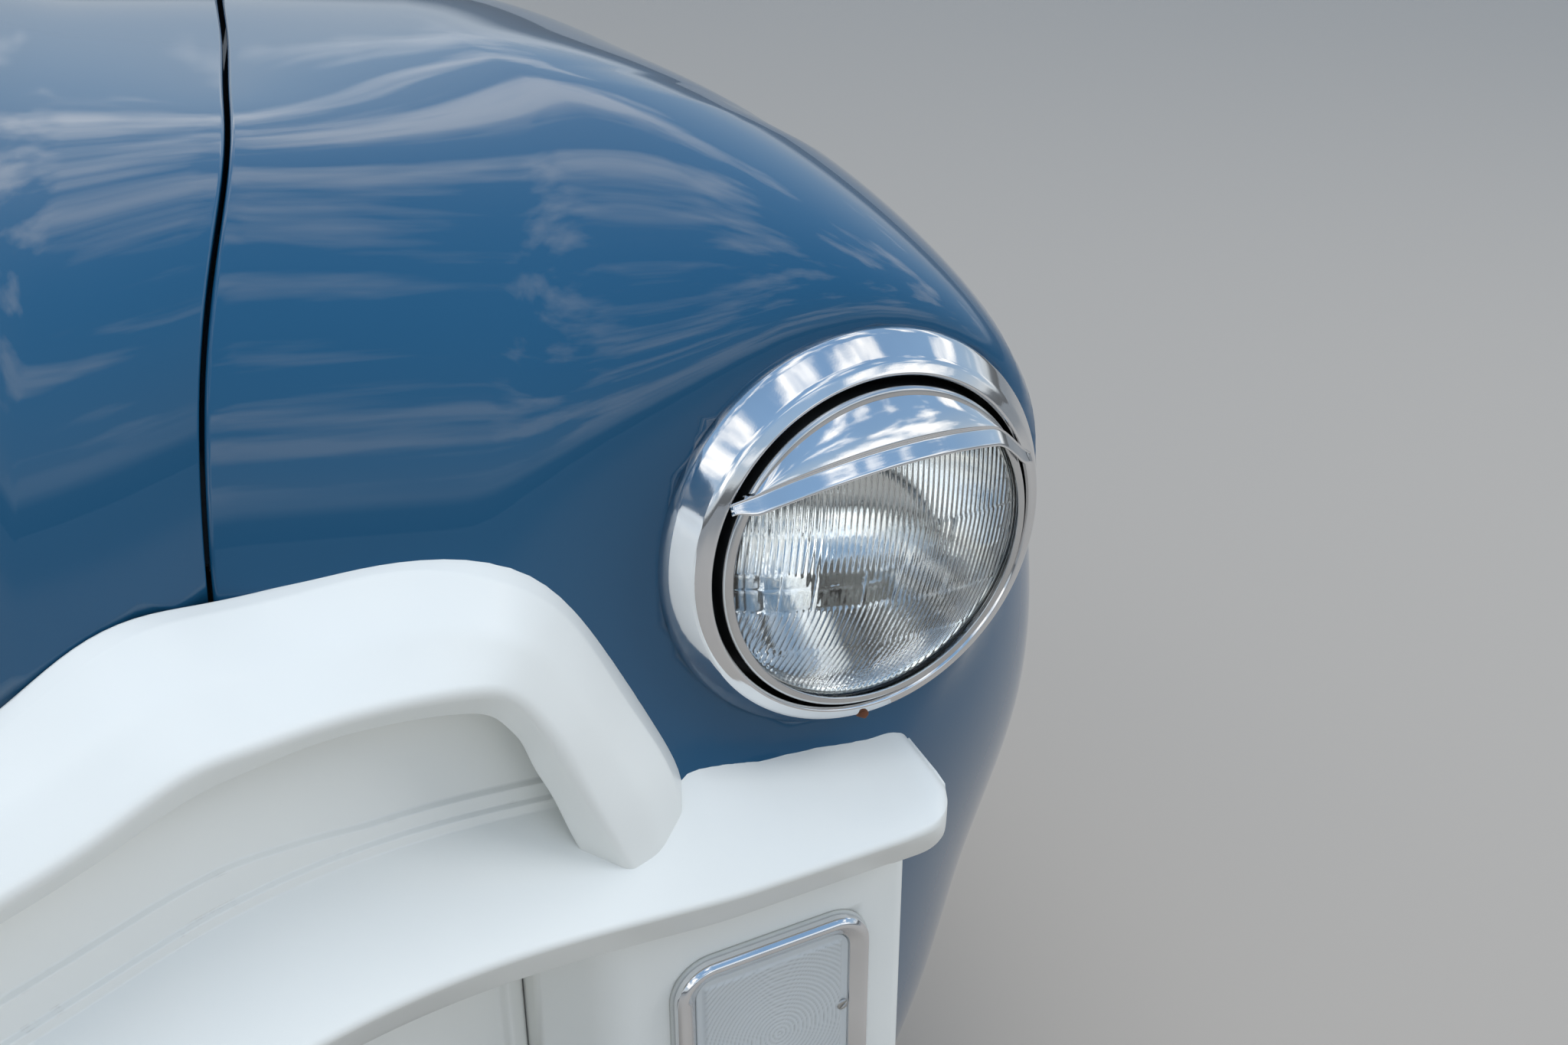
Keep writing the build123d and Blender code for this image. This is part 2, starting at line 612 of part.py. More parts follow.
def headlamp_bucket():
    path = [(108.7, -1192), (98, -1192), (98, -1130), (62, -1092), (0, -1092)]
    return Pos(LAMP_X, 0, LAMP_Z) * revolve(strip_face(path, [3, 20, 15], 1.5), Axis.Y)


def headlamp_bezel():
    rim = BEZEL_RADIUS
    path = [(rim, -1112), (rim, -1212), (102, -1228), (96.5, -1214)]
    return Pos(LAMP_X, 0, LAMP_Z) * revolve(strip_face(path, [10, 5], 2.0), Axis.Y)


def headlamp_ring():
    inner = LENS_RIM + SEAT
    path = [(104, -1192.3), (inner, -1192.3), (inner, -1231.9), (85.5, -1231.9)]
    return Pos(LAMP_X, 0, LAMP_Z) * revolve(strip_face(path, [2, 3], -1.5), Axis.Y)


def dome_point(radius, stand):
    """Place along the truck of the lens dome at a radius from its axis, stood off forwards."""
    sphere = (LENS_RIM**2 + LENS_DOME**2) / (2 * LENS_DOME)
    return LAMP_Y - LENS_DOME + sphere - (sphere**2 - radius**2) ** 0.5 - stand


def dome_shell(rim, stand, thickness):
    """Shell parallel to the lens, out to a radius."""
    front = [(r, dome_point(r, stand)) for r in (0, rim / 2, rim)]
    back = [(r, dome_point(r, stand - thickness)) for r in (rim, rim / 2, 0)]
    edges = [ThreePointArc(*front), Line(front[-1], back[0]), ThreePointArc(*back), Line(back[-1], front[0])]
    return Pos(LAMP_X, 0, LAMP_Z) * revolve(make_face(edges), Axis.Y)


def headlamp_lens():
    return dome_shell(LENS_RIM, 0, LENS_THICKNESS)


def headlamp_reflector():
    """Bowl behind the lens."""
    front, deep = LAMP_Y + LENS_THICKNESS + SEAT, LAMP_Y + REFLECTOR_DEPTH
    path = [(LENS_RIM, front), (74, -1180), (28, deep), (0, deep)]
    return Pos(LAMP_X, 0, LAMP_Z) * revolve(strip_face(path, [100, 60], -1.5), Axis.Y)


def headlamp_visor():
    """Half-moon shade over the top of the lens, with a rolled lip along its lower edge."""
    shade = dome_shell(VISOR_RADIUS, VISOR_STAND, 1.2)
    lip = dome_shell(VISOR_RADIUS, VISOR_STAND + 5, 6.2)
    above = Pos(LAMP_X, LAMP_Y, LAMP_Z + VISOR_EDGE + 100) * Box(300, 100, 200)
    slab = Pos(LAMP_X, LAMP_Y, LAMP_Z + VISOR_EDGE) * Box(300, 100, 7)
    return (shade & above) + (lip & slab)


def parking_lamp_body():
    body = rounded_block(PARK_X, PARK_Z, PARK_WIDTH - 11, PARK_HEIGHT - 11, PARK_CORNER - 6, PANEL_Y, -1196)
    return body - rounded_block(PARK_X, PARK_Z, PARK_WIDTH - 15, PARK_HEIGHT - 15, PARK_CORNER - 8, PANEL_Y - 1, -1199)


def parking_lamp_bezel():
    front = PANEL_Y - SEAT
    bezel = rounded_block(PARK_X, PARK_Z, PARK_WIDTH, PARK_HEIGHT, PARK_CORNER, front - 9, front)
    width, height = PARK_WIDTH - 2 * PARK_RIM, PARK_HEIGHT - 2 * PARK_RIM
    return bezel - rounded_block(PARK_X, PARK_Z, width, height, PARK_CORNER - 10, front - 20, front + 5)


def parking_lamp_lens():
    width, height = PARK_WIDTH - 2 * (PARK_RIM + SEAT), PARK_HEIGHT - 2 * (PARK_RIM + SEAT)
    return rounded_block(PARK_X, PARK_Z, width, height, PARK_CORNER - 10, PANEL_Y - 7, PANEL_Y - 1)


def pair(parts, name, shape):
    """A left part and its mirror image on the right."""
    parts[f"{name}_left"] = shape
    parts[f"{name}_right"] = mirror(shape, Plane.YZ)


def build_all():
    parts = {}
    block = fender_block(-PANEL_SEAT, BLOCK_START)
    pair(parts, "fender", fender())
    pair(parts, "inner_skirt", inner_skirt())
    pair(parts, "hinge_base", hinge_base(HINGE_X))
    pair(parts, "hinge_arm", hinge_arm(HINGE_X))
    pair(parts, "lamp_panel", lamp_panel(block))
    for make in (headlamp_bucket, headlamp_bezel, headlamp_ring, headlamp_lens, headlamp_reflector,
                 headlamp_visor, parking_lamp_body, parking_lamp_bezel, parking_lamp_lens):
        pair(parts, make.__name__, make())
    for make in (cowl_panel, hood_skin, hood_brace, latch_panel, latch_bolt, radiator_support, radiator,
                 grille_lower_panel):
        parts[make.__name__] = make()
    parts["grille_upper_bar"] = grille_upper_bar(block)
    parts["grille_cross_bar"] = grille_cross_bar(block)
    parts["gravel_pan"] = gravel_pan(block)
    return parts


os.makedirs("parts", exist_ok=True)
for node, shape in build_all().items():
    export_step(shape, f"parts/{node}.step")
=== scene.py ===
# %% [markdown]
# # Front end of a classic pickup truck
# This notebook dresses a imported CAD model: the rounded fenders, the bulged hood, the painted
# grille and the lamps of an old pickup. The CAD model gives every size and every joint. Here the
# large body panels are made again as smooth meshes, because long soft reflections show each flat
# facet of a CAD mesh. The small and hidden pieces keep their CAD mesh and only get a finish.

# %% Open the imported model
import math

import bmesh
import bpy
import numpy as np
from mathutils import Matrix, Vector


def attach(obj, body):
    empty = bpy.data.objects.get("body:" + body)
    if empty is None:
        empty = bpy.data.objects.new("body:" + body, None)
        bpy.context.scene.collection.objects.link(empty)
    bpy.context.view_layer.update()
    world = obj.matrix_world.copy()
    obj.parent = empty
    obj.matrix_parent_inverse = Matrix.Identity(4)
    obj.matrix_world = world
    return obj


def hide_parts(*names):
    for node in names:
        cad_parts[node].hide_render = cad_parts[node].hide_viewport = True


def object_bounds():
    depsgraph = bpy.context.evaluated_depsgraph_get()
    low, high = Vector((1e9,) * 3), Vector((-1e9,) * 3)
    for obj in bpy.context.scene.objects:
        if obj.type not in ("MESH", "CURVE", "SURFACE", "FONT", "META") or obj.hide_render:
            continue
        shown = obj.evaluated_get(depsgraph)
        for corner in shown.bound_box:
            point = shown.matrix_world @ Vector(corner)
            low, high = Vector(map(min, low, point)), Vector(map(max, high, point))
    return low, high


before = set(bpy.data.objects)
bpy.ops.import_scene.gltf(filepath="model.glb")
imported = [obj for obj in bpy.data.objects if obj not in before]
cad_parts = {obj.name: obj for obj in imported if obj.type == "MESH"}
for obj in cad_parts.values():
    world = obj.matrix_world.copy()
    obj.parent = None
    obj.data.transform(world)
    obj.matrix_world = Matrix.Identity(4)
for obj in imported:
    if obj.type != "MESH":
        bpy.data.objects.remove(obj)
cad_low, cad_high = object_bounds()
MM = 0.001
print("CAD box", [round(v, 3) for v in cad_low], [round(v, 3) for v in cad_high])

# %% [markdown]
# ## The camera
# The photograph looks down over the left front corner. Its lens and place were worked out from
# the round lamp glass, which is 178 mm across. A camera in Blender looks along its own -Z, so a
# camera that looks down by 27 degrees is tipped up from straight down by 90 - 27 degrees.

# %% Place the camera
CAMERA_SPOT = (0.259, -1.913, 0.510)
CAMERA_DOWN = 27.4
CAMERA_TURN = 28.2
PHOTO_WIDTH = 2048
FOCAL_PIXELS = 2275

camera_data = bpy.data.cameras.new("photo_camera")
camera_data.sensor_width = 36.0
camera_data.lens = FOCAL_PIXELS / PHOTO_WIDTH * camera_data.sensor_width
camera_data.clip_start = 0.02
camera = bpy.data.objects.new("photo_camera", camera_data)
camera.location = CAMERA_SPOT
camera.rotation_euler = (math.radians(90 - CAMERA_DOWN), 0, math.radians(-CAMERA_TURN))
bpy.context.scene.collection.objects.link(camera)
bpy.context.scene.camera = camera
print("lens", round(camera_data.lens, 1), "mm")

# %% [markdown]
# ## Making a node material
# Every finish here is a Principled surface with a few nodes around it. Short helpers keep the
# cells readable: they make an empty material, add a node, and link or set its inputs by name.

# %% Helpers for materials
def new_material(name):
    material = bpy.data.materials.new(name)
    material.use_nodes = True
    tree = material.node_tree
    return material, tree, tree.nodes["Principled BSDF"]


def fill_sockets(tree, node, inputs):
    """Links or sets inputs. i0, i1 and i2 are sockets by number, other words are their labels."""
    for name, value in inputs.items():
        numbered = name[0] == "i" and name[1:].isdigit()
        socket = node.inputs[int(name[1:]) if numbered else name.replace("_", " ")]
        if isinstance(value, bpy.types.NodeSocket):
            tree.links.new(value, socket)
        else:
            socket.default_value = value
    return node


def add_node(tree, kind, **inputs):
    return fill_sockets(tree, tree.nodes.new("ShaderNode" + kind), inputs)


def set_surface(tree, surface, **inputs):
    fill_sockets(tree, surface, inputs)


def math_node(tree, operation, a, b=0.0, c=0.0):
    node = add_node(tree, "Math", i0=a, i1=b, i2=c)
    node.operation = operation
    return node.outputs[0]


def ramp_node(tree, fac, *stops):
    node = add_node(tree, "ValToRGB", Fac=fac)
    ramp = node.color_ramp
    while len(ramp.elements) < len(stops):
        ramp.elements.new(0.5)
    for element, (place, colour) in zip(ramp.elements, stops):
        element.position = place
        element.color = (*colour, 1) if isinstance(colour, tuple) else (colour, colour, colour, 1)
    return node.outputs["Color"]


# %% [markdown]
# ## Floor, room and light
# A pale floor and three wide lamps give soft studio light. Glossy paint and chrome show whatever
# stands around them, so the room is dark near the ground, pale above it and blue overhead, with
# soft clouds. The lamps themselves are hidden from reflections.

# %% Build the room
FLOOR_Z = cad_low.z - 0.002

floor_material, tree, surface = new_material("pale_floor")
grain = add_node(tree, "TexNoise", Scale=38.0, Detail=8.0, Roughness=0.7)
spots = add_node(tree, "TexNoise", Scale=1.6, Detail=3.0)
DARK_FLOOR, PALE_FLOOR = (0.42, 0.375, 0.325), (0.49, 0.44, 0.385)
tint = ramp_node(tree, spots.outputs["Fac"], (0.3, DARK_FLOOR), (0.75, PALE_FLOOR))
bump = add_node(tree, "Bump", Strength=0.08, Distance=0.002, Height=grain.outputs["Fac"])
set_surface(tree, surface, Base_Color=tint, Roughness=0.85, Normal=bump.outputs["Normal"])

bpy.ops.mesh.primitive_plane_add(size=60, location=(0, 0, FLOOR_Z))
floor = bpy.context.object
floor.name = "floor"
floor.data.materials.append(floor_material)

world = bpy.data.worlds.new("room")
bpy.context.scene.world = world
world.use_nodes = True
tree = world.node_tree
coords = add_node(tree, "TexCoord")
height = add_node(tree, "SeparateXYZ", Vector=coords.outputs["Generated"])
stretched = add_node(tree, "Mapping", Vector=coords.outputs["Generated"])
stretched.inputs["Scale"].default_value = (1.0, 1.0, 2.2)
puffs = add_node(
    tree, "TexNoise", Vector=stretched.outputs["Vector"], Scale=2.6, Detail=5.0, Roughness=0.55
)
cloud_cover = ramp_node(tree, puffs.outputs["Fac"], (0.49, 0.0), (0.63, 1.0))
room = ramp_node(
    tree,
    height.outputs["Z"],
    (0.0, (0.16, 0.17, 0.18)),
    (0.05, (0.20, 0.22, 0.24)),
    (0.09, (0.74, 0.80, 0.84)),
    (0.22, (0.50, 0.66, 0.84)),
    (0.55, (0.32, 0.53, 0.82)),
    (1.0, (0.27, 0.47, 0.77)),
)
above = ramp_node(tree, height.outputs["Z"], (0.08, 0.0), (0.2, 1.0))
cover = math_node(tree, "MULTIPLY", cloud_cover, above)
sky = add_node(tree, "MixRGB", Fac=cover, Color1=room, Color2=(1.75, 1.74, 1.70, 1))
tree.nodes["Background"].inputs["Strength"].default_value = 0.85
tree.links.new(sky.outputs["Color"], tree.nodes["Background"].inputs["Color"])


def soft_light(name, place, aim, width, height, power):
    data = bpy.data.lights.new(name, "AREA")
    data.shape, data.size, data.size_y, data.energy = "RECTANGLE", width, height, power
    light = bpy.data.objects.new(name, data)
    light.location = place
    light.rotation_euler = (Vector(aim) - Vector(place)).to_track_quat("-Z", "Y").to_euler()
    light.visible_glossy = False
    bpy.context.scene.collection.objects.link(light)


soft_light("ceiling", (0.6, -1.2, 4.2), (0, -0.6, 0), 4.0, 2.2, 78)
soft_light("side_fill", (4.2, -2.6, 2.2), (0.3, -0.9, 0), 2.0, 1.6, 46)
soft_light("front_fill", (0.2, -4.6, 1.3), (0.3, -1.2, -0.1), 2.4, 1.4, 12)
bpy.context.scene.view_settings.view_transform = "Standard"
print("floor at", round(FLOOR_Z, 3))

# %% [markdown]
# ## Shared effects
# Old paint is never one even colour. Two node groups are used by several finishes: one makes
# cloudy tone and fine grain, the other finds edges, by the angle between the smooth and the
# rounded normal, and turns them into a ragged mask of chipped paint. A group hands out masks
# only, and each material decides what to do with them.


# %% Node groups for wear and tone
def new_group(name, inputs, outputs):
    group = bpy.data.node_groups.new(name, "ShaderNodeTree")
    for label, value in inputs.items():
        socket = group.interface.new_socket(label, in_out="INPUT", socket_type="NodeSocketFloat")
        socket.default_value = value
    for label in outputs:
        group.interface.new_socket(label, in_out="OUTPUT", socket_type="NodeSocketFloat")
    return group, group.nodes.new("NodeGroupInput"), group.nodes.new("NodeGroupOutput")


def object_noise(tree, scale, detail):
    """Noise that keeps its size on every piece."""
    coords = add_node(tree, "TexCoord")
    noise = add_node(tree, "TexNoise", Vector=coords.outputs["Object"], Scale=scale, Detail=detail)
    return noise.outputs["Fac"]


TONE_DEFAULTS = {"Cloud Scale": 3.0, "Grain Scale": 400.0}
WEAR_DEFAULTS = {"Amount": 0.5, "Scale": 60.0, "Radius": 0.002}
EDGE_GAIN, CHIP_CONTRAST = 9.0, 12.0

tone_group, tone_in, tone_out = new_group("paint_tone", TONE_DEFAULTS, ("Cloud", "Grain"))
for label, detail in (("Cloud", 4.0), ("Grain", 3.0)):
    noise = object_noise(tone_group, tone_in.outputs[f"{label} Scale"], detail)
    tone_group.links.new(noise, tone_out.inputs[label])

wear_group, wear_in, wear_out = new_group("edge_chips", WEAR_DEFAULTS, ("Chips",))
rounded_normal = add_node(wear_group, "Bevel", Radius=wear_in.outputs["Radius"])
rounded_normal.samples = 4
flat_normal = add_node(wear_group, "NewGeometry").outputs["Normal"]
alike = add_node(wear_group, "VectorMath", i0=rounded_normal.outputs[0], i1=flat_normal)
alike.operation = "DOT_PRODUCT"
ragged = object_noise(wear_group, wear_in.outputs["Scale"], 6.0)
limit = math_node(wear_group, "SUBTRACT", 1.0, wear_in.outputs["Amount"])
chips = math_node(wear_group, "SUBTRACT", 1.0, alike.outputs["Value"])
for operation, other in (
    ("MULTIPLY", EDGE_GAIN), ("MINIMUM", 1.0), ("MULTIPLY", ragged), ("SUBTRACT", limit),
    ("MULTIPLY", CHIP_CONTRAST), ("MAXIMUM", 0.0), ("MINIMUM", 1.0),
):
    chips = math_node(wear_group, operation, chips, other)
wear_group.links.new(chips, wear_out.inputs["Chips"])


def place_group(tree, group, **inputs):
    node = tree.nodes.new("ShaderNodeGroup")
    node.node_tree = group
    return fill_sockets(tree, node, inputs)


print("groups", tone_group.name, wear_group.name)

# %% [markdown]
# ## Body paint
# The blue is a solid colour under clear, polished lacquer. A coat over a duller base gives the
# sharp reflection of lacquer and keeps the body colour even. A trace of orange peel, small waves
# left by the spray gun, breaks the reflections up a little.

# %% Make the blue body paint
body_paint, tree, surface = new_material("blue_body_paint")
tone = place_group(tree, tone_group, Cloud_Scale=2.2, Grain_Scale=700.0)
DEEP_BLUE, BLUE = (0.006, 0.062, 0.135), (0.008, 0.074, 0.155)
blue = ramp_node(tree, tone.outputs["Cloud"], (0.25, DEEP_BLUE), (0.8, BLUE))
peel = add_node(tree, "Bump", Strength=0.02, Distance=0.0006, Height=tone.outputs["Grain"])
set_surface(tree, surface, Base_Color=blue, Roughness=0.4, Specular_IOR_Level=0.12)
set_surface(tree, surface, Coat_Weight=1.0, Coat_Roughness=0.03, Coat_IOR=1.5)
set_surface(tree, surface, Metallic=0.0, Normal=peel.outputs["Normal"])
print("body paint ready")

# %% [markdown]
# ## Grille paint
# The grille is brushed or sprayed off-white over steel. It is duller than the body, a little
# grey in the hollows, and chipped to dark rusty metal on its outer edges.

# %% Make the off-white grille paint
grille_paint, tree, surface = new_material("white_grille_paint")
tone = place_group(tree, tone_group, Cloud_Scale=5.0, Grain_Scale=260.0)
wear = place_group(tree, wear_group, Amount=0.42, Scale=90.0, Radius=0.0025)
GREYED_WHITE, OFF_WHITE = (0.75, 0.755, 0.72), (0.81, 0.815, 0.775)
DARK_RUST, PALE_RUST = (0.12, 0.075, 0.05), (0.30, 0.22, 0.17)
white = ramp_node(tree, tone.outputs["Cloud"], (0.2, GREYED_WHITE), (0.8, OFF_WHITE))
rust = ramp_node(tree, tone.outputs["Grain"], (0.3, DARK_RUST), (0.7, PALE_RUST))
paint_mix = add_node(tree, "MixRGB", Fac=wear.outputs["Chips"], Color1=white, Color2=rust)
skin = add_node(tree, "Bump", Strength=0.05, Distance=0.001, Height=tone.outputs["Grain"])
set_surface(tree, surface, Base_Color=paint_mix.outputs["Color"], Roughness=0.38)
set_surface(tree, surface, Coat_Weight=0.35, Coat_Roughness=0.16, Normal=skin.outputs["Normal"])
print("grille paint ready")

# %% [markdown]
# ## Chrome, glass and the dark parts
# Chrome is a near white metal with a very low roughness and a few fine pits. The headlamp glass
# is clear and the parking lamp's is milky. Their look comes from the ribs in the mesh and from the
# dust and painted shade in the grooves between them, which darken the glass there. Each glass mesh
# stores this as a value from 0 to 1.


# %% Make the metals, glass and dark finishes
def plain_finish(name, colour, roughness, metallic=0.0, grain=300.0, strength=0.05):
    """A finish of one colour, with a little tone and grain in its roughness and surface."""
    material, tree, surface = new_material(name)
    tone = place_group(tree, tone_group, Cloud_Scale=12.0, Grain_Scale=grain)
    cloud, specks = tone.outputs["Cloud"], tone.outputs["Grain"]
    dull = math_node(tree, "MULTIPLY_ADD", cloud, 0.5 * roughness, 0.75 * roughness)
    shade = ramp_node(tree, cloud, (0.3, tuple(0.82 * c for c in colour)), (0.7, colour))
    bump = add_node(tree, "Bump", Strength=strength, Distance=0.0005, Height=specks)
    normal = bump.outputs["Normal"]
    set_surface(tree, surface, Base_Color=shade, Roughness=dull, Metallic=metallic, Normal=normal)
    return material


chrome = plain_finish("bright_chrome", (0.86, 0.86, 0.87), 0.07, 1.0, 900.0, 0.012)
dull_chrome = plain_finish("worn_chrome", (0.70, 0.70, 0.70), 0.2, 1.0, 700.0, 0.03)
bowl_mirror = plain_finish("lamp_bowl", (0.93, 0.93, 0.93), 0.05, 1.0, 200.0, 0.02)
lamp_floor = plain_finish("lamp_floor", (0.86, 0.86, 0.85), 0.16, 1.0, 300.0, 0.05)
black_paint = plain_finish("chassis_black", (0.03, 0.031, 0.033), 0.45, 0.0, 250.0, 0.1)
core_black = plain_finish("radiator_black", (0.045, 0.045, 0.045), 0.6, 0.2, 180.0, 0.2)
zinc = plain_finish("plated_steel", (0.55, 0.54, 0.52), 0.3, 1.0, 400.0, 0.05)
gasket_pale = plain_finish("lamp_gasket", (0.62, 0.63, 0.60), 0.5, 0.0, 300.0, 0.08)


def pressed_glass(name, clean, dusty_and_shaded, roughness, clearness):
    """Glass from clear to milky, with dust and painted shade in its grooves."""
    material, tree, surface = new_material(name)
    groove_dust_and_shade = add_node(tree, "Attribute")
    groove_dust_and_shade.attribute_name = "groove_dust_and_shade"
    # the darker colour is dust and painted shade, laid in the grooves where the pattern is low
    tint = ramp_node(tree, groove_dust_and_shade.outputs["Fac"], (0.0, clean), (1.0, dusty_and_shaded))
    set_surface(tree, surface, Base_Color=tint, Roughness=roughness, IOR=1.48)
    set_surface(tree, surface, Transmission_Weight=clearness)
    return material


# each glass darkens to its second colour in its grooves: dust and painted shade
lamp_glass = pressed_glass("lamp_glass", (0.97, 0.985, 0.975), (0.42, 0.42, 0.38), 0.01, 1.0)
milky_glass = pressed_glass("milky_lamp_glass", (0.84, 0.87, 0.87), (0.5, 0.51, 0.5), 0.16, 0.4)
print("finishes ready")

# %% [markdown]
# ## Drawing sheet metal
# A pressed panel is easiest to describe by its sections, as a body shop does with plywood
# stations. Each section is a line with rounded corners. A smooth curve then runs through the same
# point of every section, which gives a grid of quads. This keeps every size in a small table, and
# the reflections flow, because a cubic spline has no sudden change of curvature.


# %% Rounded lines, splines and grids
def rounded_line(points, radii, arc=8, run=6):
    """Samples a line with rounded corners. Equal counts give equal numbers of points."""
    points = [np.array(p, float) for p in points]
    line, last = [], points[0]
    for before, corner, after, radius in zip(points, points[1:], points[2:], radii):
        inward = (corner - before) / np.linalg.norm(corner - before)
        outward = (after - corner) / np.linalg.norm(after - corner)
        turn = math.acos(max(-1.0, min(1.0, float(inward @ outward))))
        reach = radius * math.tan(turn / 2)
        start, end = corner - inward * reach, corner + outward * reach
        line += [last + (start - last) * i / run for i in range(run)]
        middle = (start + end) / 2
        lift = corner - middle
        lift = lift / (np.linalg.norm(lift) + 1e-9)
        for i in range(arc):
            angle = turn * (i / arc - 0.5)
            along = math.sin(angle) / (math.sin(turn / 2) + 1e-12)
            rise = radius * (math.cos(angle) - math.cos(turn / 2))
            line.append(middle + (end - start) / 2 * along + lift * rise)
        last = end
    return line + [last + (points[-1] - last) * i / run for i in range(run + 1)]


def spline_rows(rows, total):
    """Evenly spaced rows of points along a smooth curve through the given rows."""
    rows = np.array(rows, float)
    steps = np.linalg.norm(np.diff(rows, axis=0), axis=2).mean(axis=1)
    knots = np.concatenate([[0], np.cumsum(steps)])
    count = len(knots)
    system, right = np.eye(count), np.zeros((count, *rows.shape[1:]))
    for i in range(1, count - 1):
        low, high = steps[i - 1], steps[i]
        system[i, i - 1 : i + 2] = low, 2 * (low + high), high
        right[i] = 6 * ((rows[i + 1] - rows[i]) / high - (rows[i] - rows[i - 1]) / low)
    bend = np.tensordot(np.linalg.inv(system), right, axes=1)
    result = []
    for step in range(total):
        at = step / (total - 1) * knots[-1]
        i = max(min(int(np.searchsorted(knots, at, side="right")) - 1, count - 2), 0)
        width = steps[i]
        b = (at - knots[i]) / width
        a = 1 - b
        curve = (a**3 - a) * bend[i] + (b**3 - b) * bend[i + 1]
        result.append(a * rows[i] + b * rows[i + 1] + curve * width**2 / 6)
    return np.array(result)


def grid_faces(rows, columns, closed=False):
    faces = []
    for r in range(rows - 1):
        for c in range(columns if closed else columns - 1):
            a, b = r * columns + c, r * columns + (c + 1) % columns
            faces.append((a, b, b + columns, a + columns))
    return faces


def end_caps(rows, columns):
    """Faces that close both ends of a tube of rows."""
    last = (rows - 1) * columns
    return [tuple(range(columns)), tuple(range(last + columns - 1, last - 1, -1))]


def grid_rim(rows, columns):
    """The points round the edge of a grid, in order."""
    count = rows * columns
    rim = list(range(columns)) + [r * columns + columns - 1 for r in range(1, rows)]
    rim += list(range(count - 2, count - columns - 1, -1))
    return rim + [r * columns for r in range(rows - 2, 0, -1)]


def mirrored(points):
    """A whole line from its left half, which starts on the centre line."""
    return [(-point[0], *point[1:]) for point in points[:0:-1]] + points


def mirrored_places(places):
    return [-place for place in places[:0:-1]] + places


def new_piece(name, points, faces, material, inside, thickness=0.0):
    """A smooth piece from points in millimetres, which faces away from the point inside."""
    mesh = bpy.data.meshes.new(name)
    mesh.from_pydata([tuple(MM * float(v) for v in p) for p in points], [], faces)
    mesh.polygons.foreach_set("use_smooth", [True] * len(mesh.polygons))
    mesh.materials.append(material)
    piece = bpy.data.objects.new(name, mesh)
    bpy.context.scene.collection.objects.link(piece)
    face_outwards(piece, inside)
    if thickness:
        thicken(piece, thickness)
    return piece


def face_outwards(piece, inside):
    """Turns the faces so that they look away from a point in millimetres."""
    mesh = bmesh.new()
    mesh.from_mesh(piece.data)
    bmesh.ops.recalc_face_normals(mesh, faces=mesh.faces)
    centre = Vector(inside) * MM
    score = sum((f.calc_center_median() - centre).dot(f.normal) * f.calc_area() for f in mesh.faces)
    if score < 0:
        bmesh.ops.reverse_faces(mesh, faces=mesh.faces)
    mesh.to_mesh(piece.data)
    mesh.free()


def bake_modifiers(piece):
    graph = bpy.context.evaluated_depsgraph_get()
    mesh = bpy.data.meshes.new_from_object(piece.evaluated_get(graph))
    piece.modifiers.clear()
    piece.data = mesh


def thicken(piece, thickness):
    sheet = piece.modifiers.new("sheet", "SOLIDIFY")
    sheet.thickness, sheet.offset, sheet.use_even_offset = thickness * MM, -1, False
    bake_modifiers(piece)


def carve(piece, *cutters):
    for cutter in cutters:
        cut = piece.modifiers.new("cut", "BOOLEAN")
        cut.object, cut.operation, cut.solver = cutter, "DIFFERENCE", "EXACT"
    bake_modifiers(piece)
    for cutter in cutters:
        bpy.data.objects.remove(cutter)


def prism(name, outline, low, high, axis="y"):
    """A closed block from an outline, for cutting. The axis is the one it is drawn along."""
    order = {"x": (2, 0, 1), "y": (0, 2, 1), "z": (0, 1, 2)}[axis]
    count = len(outline)
    points = [tuple((u, v, w)[k] for k in order) for w in (low, high) for u, v in outline]
    faces = [tuple(range(count)), tuple(range(2 * count - 1, count - 1, -1))]
    faces += [(i, count + i, count + (i + 1) % count, (i + 1) % count) for i in range(count)]
    return new_piece(name, points, faces, black_paint, np.mean(points, axis=0))


def disc(radius, u, v, count=96):
    turns = [math.tau * i / count for i in range(count)]
    return [(u + radius * math.cos(turn), v + radius * math.sin(turn)) for turn in turns]


def settle(piece, body, slot, *nodes):
    """The piece moves with a body and stands for CAD nodes, which it hides. The slot is not used.
    """
    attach(piece, body)
    if nodes:
        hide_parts(*nodes)
    print(piece.name, len(piece.data.polygons), "faces, for", ", ".join(nodes) or "detail")


def build_pair(name, build, slot, node=None):
    """Builds the left piece and its mirror image. Both belong to the front end."""
    for label in ("left", "right"):
        piece = build(f"{name}_{label}_skin")
        if label == "right":
            piece.data.transform(Matrix.Scale(-1, 4, (1, 0, 0)))
            piece.data.flip_normals()
        settle(piece, "front_end", slot, *([f"{node}_{label}"] if node else []))


# %% [markdown]
# ## Fenders
# The fender rolls over from the hood seam into an upright side, and its front falls away round
# the lamp. The stations fan out from the wheel's axis at the front and stand upright behind it.
# The sheet is thickened, then the lamp, the grille and the ground line are cut away, in that
# order, because a cut through a closed sheet is clean.

# %% Fender stations
WHEEL_Y, WHEEL_Z = -670.0, -545.0
WHEEL_OPENING = 410.0
HALF_WIDTH = 915.0
EDGE_FLANGE = 18.0
FLANGE_RADIUS = 2.2
SKIN = 0.9
FENDER_BOTTOM = -450.0
LAMP = (680.0, 80.0)
BEZEL_RADIUS = 114.0
